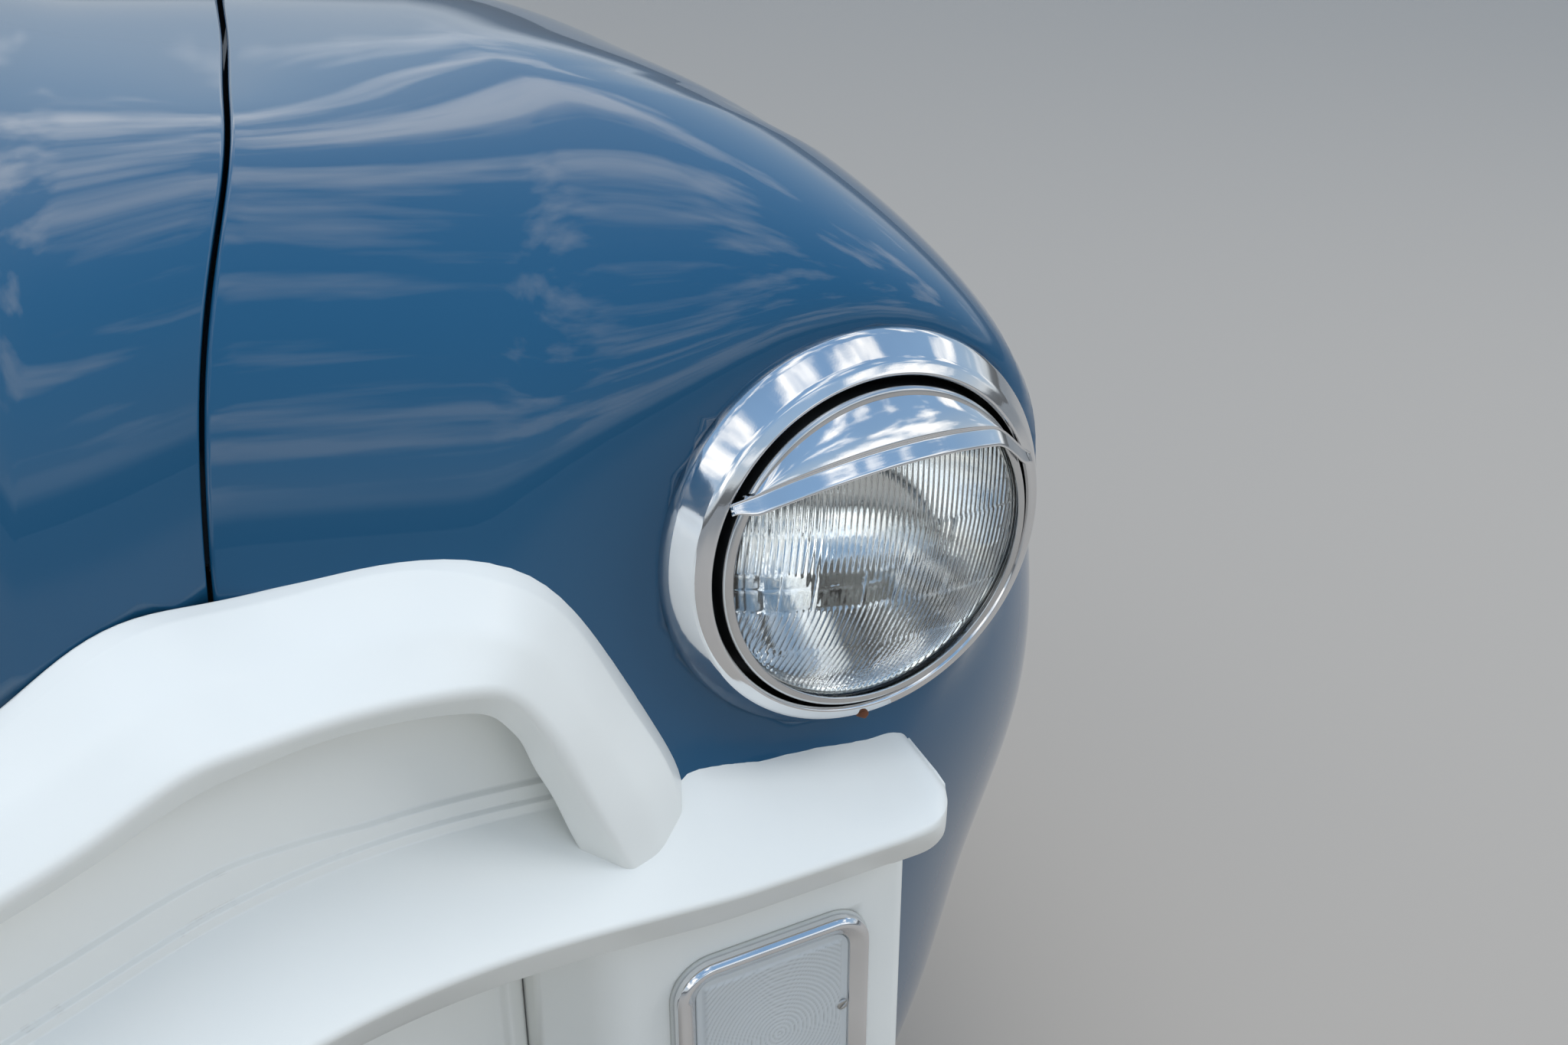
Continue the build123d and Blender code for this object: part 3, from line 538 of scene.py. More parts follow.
# place, reach at the seam, reach of the corner, corner radius, end of the side wall, tuck
# A place is an angle of the fan in degrees or, below 0, a distance along the truck.
FENDER_STATIONS = [
    (0, 514, 480, 370, 100, 40),
    (10, 542, 503, 370, 100, 22),
    (20, 585, 541, 370, 100, 8),
    (32, 663, 617, 370, 100, 0),
    (42, 760, 738, 330, 100, 0),
    (50, 872, 808, 325, 100, 0),
    (56, 934, 838, 335, 100, 0),
    (62, 935, 841, 338, 100, 0),
    (70, 890, 852, 334, 100, 0),
    (80, 846, 829, 330, 100, 0),
    (90, 829, 803, 318, 100, 0),
    (-540, 819, 776, 305, 100, 0),
    (-400, 809, 740, 290, 60, 0),
    (-270, 800, 705, 270, 0, 0),
    (-140, 793, 665, 245, -45, 0),
    (-1, 785, 630, 215, -55, 0),
]


# The seam starts at the nose, runs out at a slope and bends to run almost straight back.
SEAM_START_X, SEAM_START_Y, SEAM_SLOPE = 354.0, -1235.0, 0.24
BEND_START_Y, BEND_LENGTH, BEND_TURN = -560.0, 260.0, 0.22
LAST_SLOPE = SEAM_SLOPE - BEND_TURN
# width of a sideways step, and where it starts and ends along the truck
NOSE_STEP, LATER_STEP, SEAM_SHIFT = (25.0, -1245.0, -1130.0), (17.0, -1000.0, -480.0), 8.0


def seam_x(y):
    """Distance of the hood seam from the centre line."""
    straight = max(min(y, BEND_START_Y) - SEAM_START_Y, 0.0)
    bend = min(max(y - BEND_START_Y, 0.0), BEND_LENGTH)
    after = max(y - BEND_START_Y - BEND_LENGTH, 0.0)
    flare = NOSE_STEP[0] * smooth_share(y, *NOSE_STEP[1:])
    flare -= LATER_STEP[0] * smooth_share(y, *LATER_STEP[1:])
    run = SEAM_SLOPE * straight + SEAM_SLOPE * bend - BEND_TURN / BEND_LENGTH * bend**2 / 2
    return SEAM_START_X + flare - SEAM_SHIFT + run + LAST_SLOPE * after


def station_point(place, x, reach):
    if place >= 0:
        turn = math.radians(place)
        return x, WHEEL_Y - reach * math.cos(turn), WHEEL_Z + reach * math.sin(turn)
    return x, place, WHEEL_Z + reach


def station_grid(stations, section, total):
    """Points and faces of a panel that runs through its stations."""
    rows = [[station_point(row[0], *point) for point in section(*row)] for row in stations]
    rows = spline_rows(rows, total)
    return rows.reshape(-1, 3), grid_faces(total, rows.shape[1])


def smooth_share(value, start, end):
    share = min(max((value - start) / (end - start), 0.0), 1.0)
    return share * share * (3 - 2 * share)


# %% Build the fenders
FENDER_ROWS = 190
NACELLE_Y, NACELLE_BACK, NACELLE_REACH = -1207.0, -950.0, 250.0
NACELLE_WIDTHS = (38.0, 105.0)
CUT_START = -1500.0  # in front of the whole truck


def lamp_swell(point):
    """Draws the sheet to the rim of the lamp, over a wider band above it and inboard of it."""
    x, y, z = point
    across, up = x - LAMP[0], z - LAMP[1]
    away = math.hypot(across, up)
    if y > NACELLE_BACK or away > NACELLE_REACH:
        return point
    facing = (up - across) / (math.sqrt(2) * max(away, 1.0))
    narrow, wide = NACELLE_WIDTHS
    width = narrow + (wide - narrow) * (1 + facing) / 2
    share = 1 - smooth_share(away, BEZEL_RADIUS, BEZEL_RADIUS + width)
    return x, y + share * (NACELLE_Y - y), z


def fender_section(place, seam, corner, radius, end, tuck):
    x = seam_x(station_point(place, 0, seam)[1])
    side = HALF_WIDTH - tuck
    line = [(x, seam - EDGE_FLANGE), (x, seam), (side, corner), (side, end)]
    return rounded_line(line, [FLANGE_RADIUS, radius], arc=26, run=24)


def ground_trim(piece, height, ahead_of):
    """Cuts off what is lower than a height, in front of a place along the truck."""
    block = [(-1000, -1700), (1000, -1700), (1000, ahead_of), (-1000, ahead_of)]
    carve(piece, prism("ground_cut", block, height - 400, height, "z"))


def build_fender(name):
    points, faces = station_grid(FENDER_STATIONS, fender_section, FENDER_ROWS)
    points = [lamp_swell(point) for point in points]
    piece = new_piece(name, points, faces, body_paint, (400, WHEEL_Y, -300), SKIN)
    grille_side = [(200, 118), (441, 116), (490, 70), (538, -50), (560, -62), (690, -72)]
    grille_side += [(690, -700), (200, -700)]
    carve(
        piece,
        prism("lamp_hole", disc(BEZEL_RADIUS - 1.5, *LAMP), CUT_START, NACELLE_BACK),
        prism("wheel_hole", disc(WHEEL_OPENING, WHEEL_Y, WHEEL_Z), 200, 1200, "x"),
        prism("grille_hole", grille_side, CUT_START, -960),
    )
    ground_trim(piece, FENDER_BOTTOM, WHEEL_Y)
    return piece


build_pair("fender", build_fender, "body_paint", "fender")

# %% [markdown]
# ## Hood
# The hood has a raised centre with sharp shoulders, a valley along each side and a flared edge
# that lies level with the fender. It takes the fender's own reach at the seam, less a small gap.

# %% Build the hood
SEAM_GAP = ((-1235, -700, -300), (2.2, 3.0, 5.0))
# Lower edge of the nose, seen from the front. It drops behind the grille near the seam.
HOOD_LIP = [(0, 127), (100, 129), (190, 135), (232, 139)]
HOOD_LIP += [(262, 145), (291, 149), (314, 146), (344, 136)]
HOOD_ROWS = 120
SHOULDER_RADIUS, VALLEY_RADIUS = 88.0, 110.0
# place, reach on the centre line, crown radius, shoulder x and reach, valley x and reach
HOOD_STATIONS = [
    (45.5, 1003, 500, 159, 967, 263, 884),
    (50, 1075, 600, 186, 1040, 270, 945),
    (56, 1098, 1000, 209, 1071, 281, 980),
    (62, 1065, 1400, 223, 1042, 288, 955),
    (70, 1023, 1500, 235, 1006, 305, 905),
    (80, 998, 1500, 245, 978, 330, 863),
    (90, 1000, 1500, 254, 975, 354, 844),
    (-540, 1006, 1500, 262, 985, 375, 831),
    (-400, 1018, 1500, 270, 993, 394, 821),
    (-270, 1029, 1500, 278, 1003, 410, 812),
    (-140, 1041, 1500, 287, 1014, 425, 804),
    (-8, 1055, 1500, 296, 1027, 436, 797),
]


def seam_reach(place):
    rows = [row for row in FENDER_STATIONS if (row[0] < 0) == (place < 0)]
    return float(np.interp(place, [row[0] for row in rows], [row[1] for row in rows]))


def hood_section(place, centre, crown, shoulder_x, shoulder, valley_x, valley):
    edge = seam_reach(place)
    edge_y = station_point(place, 0, edge)[1]
    edge_x = seam_x(edge_y) - float(np.interp(edge_y, *SEAM_GAP))
    half = [(0, centre), (shoulder_x, shoulder), (valley_x, valley)]
    half += [(edge_x, edge), (edge_x, edge - EDGE_FLANGE)]
    outer = [FLANGE_RADIUS, VALLEY_RADIUS, SHOULDER_RADIUS]
    return rounded_line(mirrored(half), [*outer, crown, *outer[::-1]], arc=12, run=5)


points, faces = station_grid(HOOD_STATIONS, hood_section, HOOD_ROWS)
hood = new_piece("hood_outer_skin", points, faces, body_paint, (0, -500, -200), SKIN)
lip_cut = mirrored([*HOOD_LIP, (450, 132), (450, -300)])
carve(hood, prism("lip_cut", lip_cut, -1600, -1000))
settle(hood, "hood", "body_paint", "hood_skin")

# %% [markdown]
# ## Grille bar
# The arch of the grille is a pressed bar with one broad face that starts at the body, a soft
# ridge and a narrow underside. It bows forward towards the middle and bends down into a leg at
# each side, which stands on the shelf of the crossbar. Four lines run along it: the edge at the
# body, a crease beside it, the ridge and the lower lip.

# %% Shape of the grille bar
BOW, BOW_HALF, GRILLE_FLAT_Y = 170.0, 560.0, -1225.0
# (x, y, z) of the body edge, the crease, the ridge and the lip at each station
ARCH_STATIONS = [
    ((0, -1366, 131), (0, -1376, 129), (0, -1423, 97), (0, -1407, 80)),
    ((96, -1359, 133), (99, -1368, 131), (116, -1406, 98), (114, -1390, 81)),
    ((190, -1336, 140), (194, -1343, 137), (206, -1370, 101), (203, -1356, 84)),
    ((232, -1309, 144), (235, -1316, 140), (243, -1355, 105), (242, -1340, 87)),
    ((262, -1288, 149), (265, -1295, 145), (280, -1338, 108), (280, -1322, 89)),
    ((291, -1267, 154), (295, -1275, 150), (318, -1320, 114), (318, -1304, 93)),
    ((314, -1251, 151), (319, -1259, 148), (342, -1309, 110), (343, -1293, 91)),
    ((344, -1234, 141), (349, -1242, 139), (368, -1298, 105), (371, -1281, 87)),
    ((390, -1223, 135), (394, -1231, 133), (408, -1282, 95), (412, -1265, 76)),
    ((443, -1219, 130), (444, -1228, 127), (447, -1270, 83), (444, -1254, 64)),
    ((489, -1217, 112), (483, -1229, 109), (464, -1265, 74), (460, -1250, 55)),
    ((518, -1212, 81), (508, -1225, 84), (475, -1262, 61), (469, -1248, 43)),
    ((531, -1210, 58), (520, -1225, 64), (481, -1261, 50), (474, -1246, 34)),
    ((547, -1210, 25), (534, -1226, 34), (489, -1260, 34), (480, -1245, 16)),
    ((560, -1212, -4), (547, -1228, 7), (499, -1258, 7), (488, -1243, -3)),
    ((570, -1217, -32), (558, -1233, -21), (511, -1256, -23), (496, -1241, -27)),
    ((572, -1213, -72), (562, -1236, -75), (533, -1252, -80), (515, -1235, -78)),
]
ARCH_ROUNDING = [1.5, 7.0, 40.0, 7.0, 3.0]
ARCH_ROWS = 181


def bow_y(x):
    if abs(x) >= BOW_HALF:
        return GRILLE_FLAT_Y
    return GRILLE_FLAT_Y - BOW * math.cos(math.pi / 2 * x / BOW_HALF) ** 2


def arch_section(body, crease, ridge, lip):
    """Section of the bar in space, closed behind by points that the bar hides."""
    body, crease, ridge, lip = (np.array(point, float) for point in (body, crease, ridge, lip))
    down = lip - body
    down[1] = 0
    down /= np.linalg.norm(down)
    bulge = np.cross(ridge - crease, np.cross(down, (0, 1, 0)))
    bulge = bulge / np.linalg.norm(bulge)
    middle = (crease + ridge) / 2 - bulge * 3.5 * math.copysign(1, bulge[1])
    behind_body = body + down * 22 + (0, 5, 0)
    behind_lip = lip - down * 10 + (0, 26, 0)
    line = [behind_body, body, crease, middle, ridge, lip, behind_lip]
    return rounded_line(line, ARCH_ROUNDING, arc=8, run=3)


half = np.array([arch_section(*station) for station in ARCH_STATIONS])
other = half[:0:-1] * np.array([-1, 1, 1])
rows = spline_rows(np.concatenate([other, half]), ARCH_ROWS)
size = rows.shape[:2]
faces = grid_faces(*size, closed=True) + end_caps(*size)
arch = new_piece("grille_arch", rows.reshape(-1, 3), faces, grille_paint, (0, -1330, 100))
settle(arch, "front_end", "grille_paint", "grille_upper_bar")

# %% [markdown]
# ## Crossbar
# Under the arch a broad shelf runs across the truck. Its nose hangs over the lamp panels, and a
# wall at its back closes the mouth of the grille. Two low steps are pressed where shelf and wall
# meet. The end of the shelf is rounded in plan, so the sections there are held back by a rounded
# outline, with a soft step between the two, which leaves a soft edge.

# %% Shape of the crossbar
CROSS_RISE, RISE_START, RISE_END = 52.0, 590.0, 290.0
WALL_FULL_X, WALL_NONE_X, WALL_TOP, WALL_LOW = 480.0, 560.0, 125.0, -34.0
SHELF_DROOP = 0.09
# corners of the section as (y, z): nose, inner corner, and front and back of the underside
NOSE, INNER_CORNER = (-1275, -78), (-1206, -38)
UNDER_FRONT, UNDER_BACK = (-1254, -110), (-1176, -112)
WALL_TOP_Y, LEAST_WALL = -1194, 14
GRILLE_SHEET = 1.6
# how much the back of the shelf is raised beside the leg
SHELF_LIFT = ((500, 574, 593, 619, 645, 690, 721), (0, 18, 11.5, 3, 0, 2, 5))
TIP_X, TIP_RADIUS, NOSE_FRONT = 721.0, 42.0, -1276.0
TIP_START = 696.0
# place behind the inner corner and height over the shelf of the corners of the two steps
STEPS = [(-7.0, 0.0), (-6.5, 4.5), (-3.6, 4.2), (-2.8, 11.0), (0.4, 10.8)]
STEP_TALLER = ((330, 395), (8.0, 0.0))
TIP_MIDDLE_Z = -79.0


def cross_bar_line(x):
    """Section of the crossbar at a place across the truck, as (y, z)."""
    swell = (GRILLE_FLAT_Y - bow_y(x)) / BOW
    forward = -BOW * swell
    rise = CROSS_RISE * smooth_share(abs(x), RISE_START, RISE_END)
    droop = max(abs(x) - WALL_NONE_X, 0) * SHELF_DROOP
    low_shelf = INNER_CORNER[1] - droop + rise + float(np.interp(abs(x), *SHELF_LIFT))
    lowered = smooth_share(abs(x), WALL_FULL_X, WALL_NONE_X)
    top = WALL_TOP - lowered * (WALL_TOP - WALL_LOW) - droop
    back = 26.0 * smooth_share(abs(x), 640.0, 720.0)
    nose, corner = (NOSE[0], NOSE[1] + rise), (INNER_CORNER[0] + back, low_shelf)
    slope = (corner[1] - nose[1]) / (corner[0] - nose[0])
    fade = smooth_share(abs(x), 575.0, 500.0)
    taller = float(np.interp(abs(x), *STEP_TALLER))
    under = (UNDER_BACK[0] + back, UNDER_BACK[1] + rise)
    line = [under, (UNDER_FRONT[0], UNDER_FRONT[1] + rise), nose]
    for y, z in STEPS:
        z += taller if z > 6 else 0
        line.append((corner[0] + y, corner[1] + slope * y + z * fade))
    line.append((WALL_TOP_Y + back, max(top, low_shelf + LEAST_WALL)))
    line = [(forward + y, z) for y, z in line]
    return np.array(rounded_line(line, [3.0, 4.5, 1.5, 1.0, 1.0, 1.0, 1.6], arc=6, run=5))


def hold_back(line, x):
    """Keeps a section behind the rounded end of the shelf."""
    over = abs(x) - (TIP_X - TIP_RADIUS)
    if over <= 0:
        return line
    limit = NOSE_FRONT + TIP_RADIUS - math.sqrt(max(TIP_RADIUS**2 - over**2, 0.0))
    result = line.copy()
    for i, (y, z) in enumerate(line):
        gap = y - limit
        result[i, 0] = limit + (gap + math.sqrt(gap * gap + 5.0**2)) / 2 - 1.0
    return result


def round_tip(line, x):
    """Makes a section lower towards the end, so that the shelf ends in a blunt, rounded tip."""
    over = max(abs(x) - TIP_START, 0.0) / (TIP_X + 1.0 - TIP_START)
    flat = (1 - min(over, 1.0) ** 2.8) ** 0.5
    result = line.copy()
    result[:, 1] = TIP_MIDDLE_Z + (line[:, 1] - TIP_MIDDLE_Z) * flat
    return result


def rounded_end(row, x, side, radius=1.5, steps=3):
    """Rows that close the end of the shelf with a soft edge."""
    row = np.array(row)
    middle = row.mean(axis=0)
    size = np.abs(row - middle).max()
    rows = []
    for i in range(1, steps + 1):
        turn = math.pi / 2 * i / steps
        shrink = 1 - radius * (1 - math.cos(turn)) / size
        ring = middle + (row - middle) * shrink
        rows.append([(x + side * radius * math.sin(turn), y, z) for y, z in ring])
    return rows


def build_cross_bar():
    straight, last = TIP_X - TIP_RADIUS, TIP_X - 1.5
    xs = [float(v) for v in np.linspace(0, straight, 90)]
    xs += [straight + (last - straight) * math.sin(math.pi / 2 * i / 24) for i in range(1, 25)]
    xs = mirrored_places(xs)
    lines = [round_tip(hold_back(cross_bar_line(x), x), x) for x in xs]
    rows = [[(x, y, z) for y, z in line] for x, line in zip(xs, lines)]
    rows = rounded_end(lines[0], xs[0], -1)[::-1] + rows + rounded_end(lines[-1], xs[-1], 1)
    rows = np.array(rows)
    size = rows.shape[:2]
    faces = grid_faces(*size) + end_caps(*size)
    points, inside = rows.reshape(-1, 3), (0, -1150, -60)
    return new_piece("grille_crossbar", points, faces, grille_paint, inside, GRILLE_SHEET)


settle(build_cross_bar(), "front_end", "grille_paint", "grille_cross_bar")

# %% [markdown]
# ## Lower panel
# Under the crossbar a recessed panel closes the front. Each half is pressed back inside a rounded
# outline, and the air opening is cut through its lower part. The grid is fine only where the
# pressing bends, so the mesh stays small.

# %% Build the lower panel
PANEL_HALF, PANEL_LOW, PANEL_HIGH, PANEL_SET_BACK = 483.7, -332.0, -50.0, 50.0
PRESS_BOX = (22.0, 475.0, -321.0, -129.0)
PRESS_CORNER, PRESS_DEPTH, PRESS_EDGE = 20.0, 7.0, 5.0
AIR_BOX = (30.0, 470.0, -312.0, -215.0)


def rounded_distance(u, v, box, corner):
    """Distance outside a rounded box, negative inside."""
    across = abs(u - (box[0] + box[1]) / 2) - (box[1] - box[0]) / 2 + corner
    up = abs(v - (box[2] + box[3]) / 2) - (box[3] - box[2]) / 2 + corner
    return math.hypot(max(across, 0), max(up, 0)) + min(max(across, up), 0) - corner


def spaced(stops):
    """Numbers that run through (start, end, count) stretches."""
    values = [stops[0][0]]
    for start, end, count in stops:
        values += [start + (end - start) * (i + 1) / count for i in range(count)]
    return values


def rounded_box(box, corner, steps=8):
    """Outline of a rounded box, anticlockwise."""
    low_u, high_u, low_v, high_v = box
    left, right, low, high = low_u + corner, high_u - corner, low_v + corner, high_v - corner
    centres = [(right, low, -90), (right, high, 0), (left, high, 90), (left, low, 180)]
    outline = []
    for u, v, start in centres:
        for i in range(steps + 1):
            turn = math.radians(start + 90 * i / steps)
            outline.append((u + corner * math.cos(turn), v + corner * math.sin(turn)))
    return outline


def build_lower_panel():
    half = [(0, 16, 4), (16, 30, 10), (30, 50, 6), (50, 450, 60), (450, 482, 24)]
    xs = mirrored_places(spaced([*half, (482, PANEL_HALF, 1)]))
    zs = [(PANEL_LOW, -325, 3), (-325, -296, 18), (-296, -155, 16), (-155, -124, 22)]
    zs = spaced([*zs, (-124, PANEL_HIGH, 12)])
    points = []
    for x in xs:
        for z in zs:
            inside = -rounded_distance(abs(x), z, PRESS_BOX, PRESS_CORNER)
            pressed = PRESS_DEPTH * smooth_share(inside, 0.0, PRESS_EDGE)
            points.append((x, bow_y(x) + PANEL_SET_BACK + pressed, z))
    faces, inside = grid_faces(len(xs), len(zs)), (0, -900, -200)
    piece = new_piece("grille_lower_skin", points, faces, grille_paint, inside, GRILLE_SHEET)
    left = rounded_box(AIR_BOX, 18.0)
    right = [(-u, v) for u, v in left]
    openings = (("air_left", left), ("air_right", right))
    carve(piece, *(prism(label, outline, CUT_START, -1000) for label, outline in openings))
    return piece


settle(build_lower_panel(), "front_end", "grille_paint", "grille_lower_panel")

# %% [markdown]
# ## Headlamp
# A sealed beam lamp sits in a chrome bezel. The bezel is spun from sheet: a broad rounded face, a
# crease, a flatter inner band and a rolled edge. Spun parts are made by turning a profile round
# the axis of the lamp, as a lathe does.

# %% Turn the bezel, the ring and the bowl
LAMP_Y = -1230.0


def lathe(name, profile, material, inside_y, thickness=0.0, steps=160):
    """Turns a profile of (radius, y) round the axis of the lamp."""
    points = [(u, y, v) for radius, y in profile for u, v in disc(radius, *LAMP, steps)]
    faces = grid_faces(len(profile), steps, closed=True)
    return new_piece(name, points, faces, material, (LAMP[0], inside_y, LAMP[1]), thickness)


def bezel(name):
    profile = [(114.6, -1150), (114.6, -1211), (103.5, -1227.5)]
    profile += [(96.6, -1231.3), (94.8, -1229.5), (94.8, -1208)]
    line = rounded_line(profile, [15.0, 10.0, 1.3, 1.3], arc=9, run=3)
    return lathe(name, line, chrome, -1100, 1.0)


def lamp_ring(name):
    profile = [(103.5, -1192.5), (91.2, -1192.5), (91.2, -1235.2), (86.0, -1235.2)]
    return lathe(name, rounded_line(profile, [2.0, 2.6], arc=6, run=2), dull_chrome, -1150, 0.8)


def bowl(name):
    profile = [(88.0, -1225.5), (84.0, -1222.0)]
    profile += [(r, -1148 - 72.0 * (r / 82.0) ** 2) for r in np.linspace(82, 0.5, 18)]
    piece = lathe(name, profile, bowl_mirror, -1500)
    piece.data.flip_normals()
    thicken(piece, -0.8)
    return piece


build_pair("headlamp_bezel", bezel, "chrome", "headlamp_bezel")
build_pair("headlamp_ring", lamp_ring, "chrome", "headlamp_ring")
build_pair("headlamp_bowl", bowl, "reflector", "headlamp_reflector")

# %% Add the tab under the bezel
rust = plain_finish("rusty_tab", (0.16, 0.055, 0.022), 0.8, 0.0, 500.0, 0.3)


def rusty_tab(name, rings=8, steps=20):
    """A small rusted clip that holds the lower edge of the bezel."""
    middle, size = (LAMP[0] - 4.0, -1225.0, LAMP[1] - 103.5), (3.4, 5.5, 3.0)
    points = []
    for i in range(rings + 1):
        for k in range(steps):
            rise, turn = math.pi * (0.02 + 0.96 * i / rings), math.tau * k / steps
            lump = 1 + 0.12 * math.sin(3 * turn + i) + 0.08 * math.cos(5 * turn)
            side = math.sin(rise) * lump
            spot = (side * math.cos(turn), math.cos(rise), side * math.sin(turn))
            points.append(tuple(m + r * c for m, r, c in zip(middle, size, spot)))
    faces = grid_faces(rings + 1, steps, closed=True) + end_caps(rings + 1, steps)
    return new_piece(name, points, faces, rust, middle)


build_pair("bezel_tab", rusty_tab, "hardware")

# %% [markdown]
# ## Fluted glass
# The glass is smooth in front. Its back carries upright flutes that spread the beam sideways, in
# zones parted by low ridges, with blocks of plain glass beside the middle. The pattern is a height
# over the plane of the lamp, so it is true shape, and the glass bends what stands behind it.

# %% Build the lamp glass
GLASS_RADIUS, GLASS_DOME, GLASS_THICKNESS = 88.8, 16.0, 4.0
FLUTE_PITCH, FLUTE_HEIGHT = 3.4, 1.0
RIDGE_HEIGHT = 0.8 * FLUTE_HEIGHT
PATTERN_TURN = math.radians(-7.0)
# upper and lower limit of a zone, left part: height and slant of its flutes, right part: the same
ZONES = [
    (90, 17, 1.0, 0.0, 1.0, 0.0),
    (17, -5, 0.75, 0.0, 0.9, 0.08),
    (-5, -27, 0.12, 0.0, 0.6, 0.12),
    (-27, -52, 0.9, 0.22, 0.8, 0.3),
    (-52, -90, 0.9, 0.36, 0.9, 0.45),
]
# height of a ridge over the middle, and where it starts and ends
RIDGES = [(17, -90, 90), (-5, -90, 8), (-14, -90, 0), (-27, -90, 90)]
RIDGES += [(-52, -90, 30), (4, 12, 90), (-40, 12, 60), (32, 20, 90)]
# place of an upright edge, and where it starts and ends
BLOCK_EDGES = [(-58, -27, -5), (-40, -27, -5), (-12, -27, -5), (12, -52, 17), (40, -40, 32)]
SPHERE = (GLASS_RADIUS**2 + GLASS_DOME**2) / (2 * GLASS_DOME)


def dome_y(radius, stand):
    """Place along the truck of the front of the glass, stood off forwards."""
    return LAMP_Y - GLASS_DOME + SPHERE - math.sqrt(SPHERE**2 - radius**2) - stand


def flute_height(u, v):
    """Thickness that the pattern adds behind the glass."""
    across = u * math.cos(PATTERN_TURN) + v * math.sin(PATTERN_TURN)
    up = -u * math.sin(PATTERN_TURN) + v * math.cos(PATTERN_TURN)
    height = 0.0
    for high, low, left, left_slant, right, right_slant in ZONES:
        if low < up <= high:
            share, slant = (left, left_slant) if across < 6 else (right, right_slant)
            wave = math.cos(math.pi * (across - slant * up) / FLUTE_PITCH)
            height = share * FLUTE_HEIGHT * abs(wave)
    for level, start, end in RIDGES:
        if start < across < end:
            height = max(height, RIDGE_HEIGHT * max(0.0, 1 - abs(up - level) / 1.1))
    for place, low, high in BLOCK_EDGES:
        if low < up < high:
            height = max(height, RIDGE_HEIGHT * max(0.0, 1 - abs(across - place)))
    fade = 1 - smooth_share(math.hypot(u, v), GLASS_RADIUS - 6, GLASS_RADIUS - 4)
    return height * fade


def mark_groove_dust_and_shade(piece, values):
    """Stores how deep in a groove each point of a glass lies, for its dust and painted shade."""
    layer = piece.data.attributes.new("groove_dust_and_shade", "FLOAT", "POINT")
    layer.data.foreach_set("value", [float(v) for v in values])


def lamp_lens(name, columns=330, rows=90):
    """Front and back share one grid, whose columns are cut to the round outline."""
    front, back, dust_and_shade = [], [], []
    for i in range(columns):
        u = -GLASS_RADIUS * math.cos(math.pi * (0.012 + 0.976 * i / (columns - 1)))
        u = 0.35 * u + 0.65 * (GLASS_RADIUS - 0.06) * (2 * i / (columns - 1) - 1)
        half = math.sqrt(max(GLASS_RADIUS**2 - u**2, 1.0))
        for j in range(rows):
            v = half * (2 * j / (rows - 1) - 1)
            radius = min(math.hypot(u, v), GLASS_RADIUS)
            y = dome_y(radius, 0.0)
            front.append((LAMP[0] + u, y, LAMP[1] + v))
            rise = flute_height(u, v)
            back.append((LAMP[0] + u, y + GLASS_THICKNESS + rise, LAMP[1] + v))
            plain = radius > GLASS_RADIUS - 6
            # dust and painted shade: the glass is darker where the pattern behind it is low, as in
            # its grooves
            dust_and_shade.append(0.0 if plain else max(0.0, 1 - rise / (0.45 * FLUTE_HEIGHT)) * 0.8)
    count = columns * rows
    faces = grid_faces(columns, rows)
    faces += [tuple(count + k for k in face[::-1]) for face in faces]
    rim = grid_rim(columns, rows)
    faces += [(a, b, count + b, count + a) for a, b in zip(rim, rim[1:] + rim[:1])]
    piece = new_piece(name, front + back, faces, lamp_glass, (LAMP[0], -1236, LAMP[1]))
    mark_groove_dust_and_shade(piece, [0.0] * count + dust_and_shade)
    return piece


build_pair("headlamp_glass", lamp_lens, "lamp_glass", "headlamp_lens")

# %% [markdown]
# ## Visor
# A small chrome shade covers the top of the lamp. It is domed, dips into a valley along its lower
# edge and ends in a rolled brim, which is arched in the middle and stands proud at its ends.

# %% Build the visor
BRIM_MIDDLE, BRIM_TOP, BRIM_FALL, BRIM_END_DROP = 8.0, 58.0, 16.0, 15.0
VISOR_RIM = 89.6
# stand off the glass beyond that of the shade, and drop below the upper edge of the brim
BRIM_PROFILE = [(0.0, 0.0), (-0.6, 1.2), (1.6, 4.6), (3.6, 7.6), (3.4, 9.0), (2.2, 9.3), (1.2, 8.4)]
SHADE_STAND, SHADE_END, RIM_STAND, SHADE_DOME = 11.5, 6.0, 2.6, 1.6
BRIM_RISE = 9.0


def brim_line(u):
    """Height of the lower edge of the visor over the middle of the lamp."""
    fall = BRIM_FALL * ((u - BRIM_MIDDLE) / 82.0) ** 2
    return BRIM_TOP - fall - BRIM_END_DROP * smooth_share(u, 62.0, 97.0)


def shade_stand(u):
    """How far the lower edge of the shade stands off the glass."""
    return SHADE_STAND - (SHADE_STAND - SHADE_END) * min(abs(u - 4.0) / 88.0, 1.0) ** 2


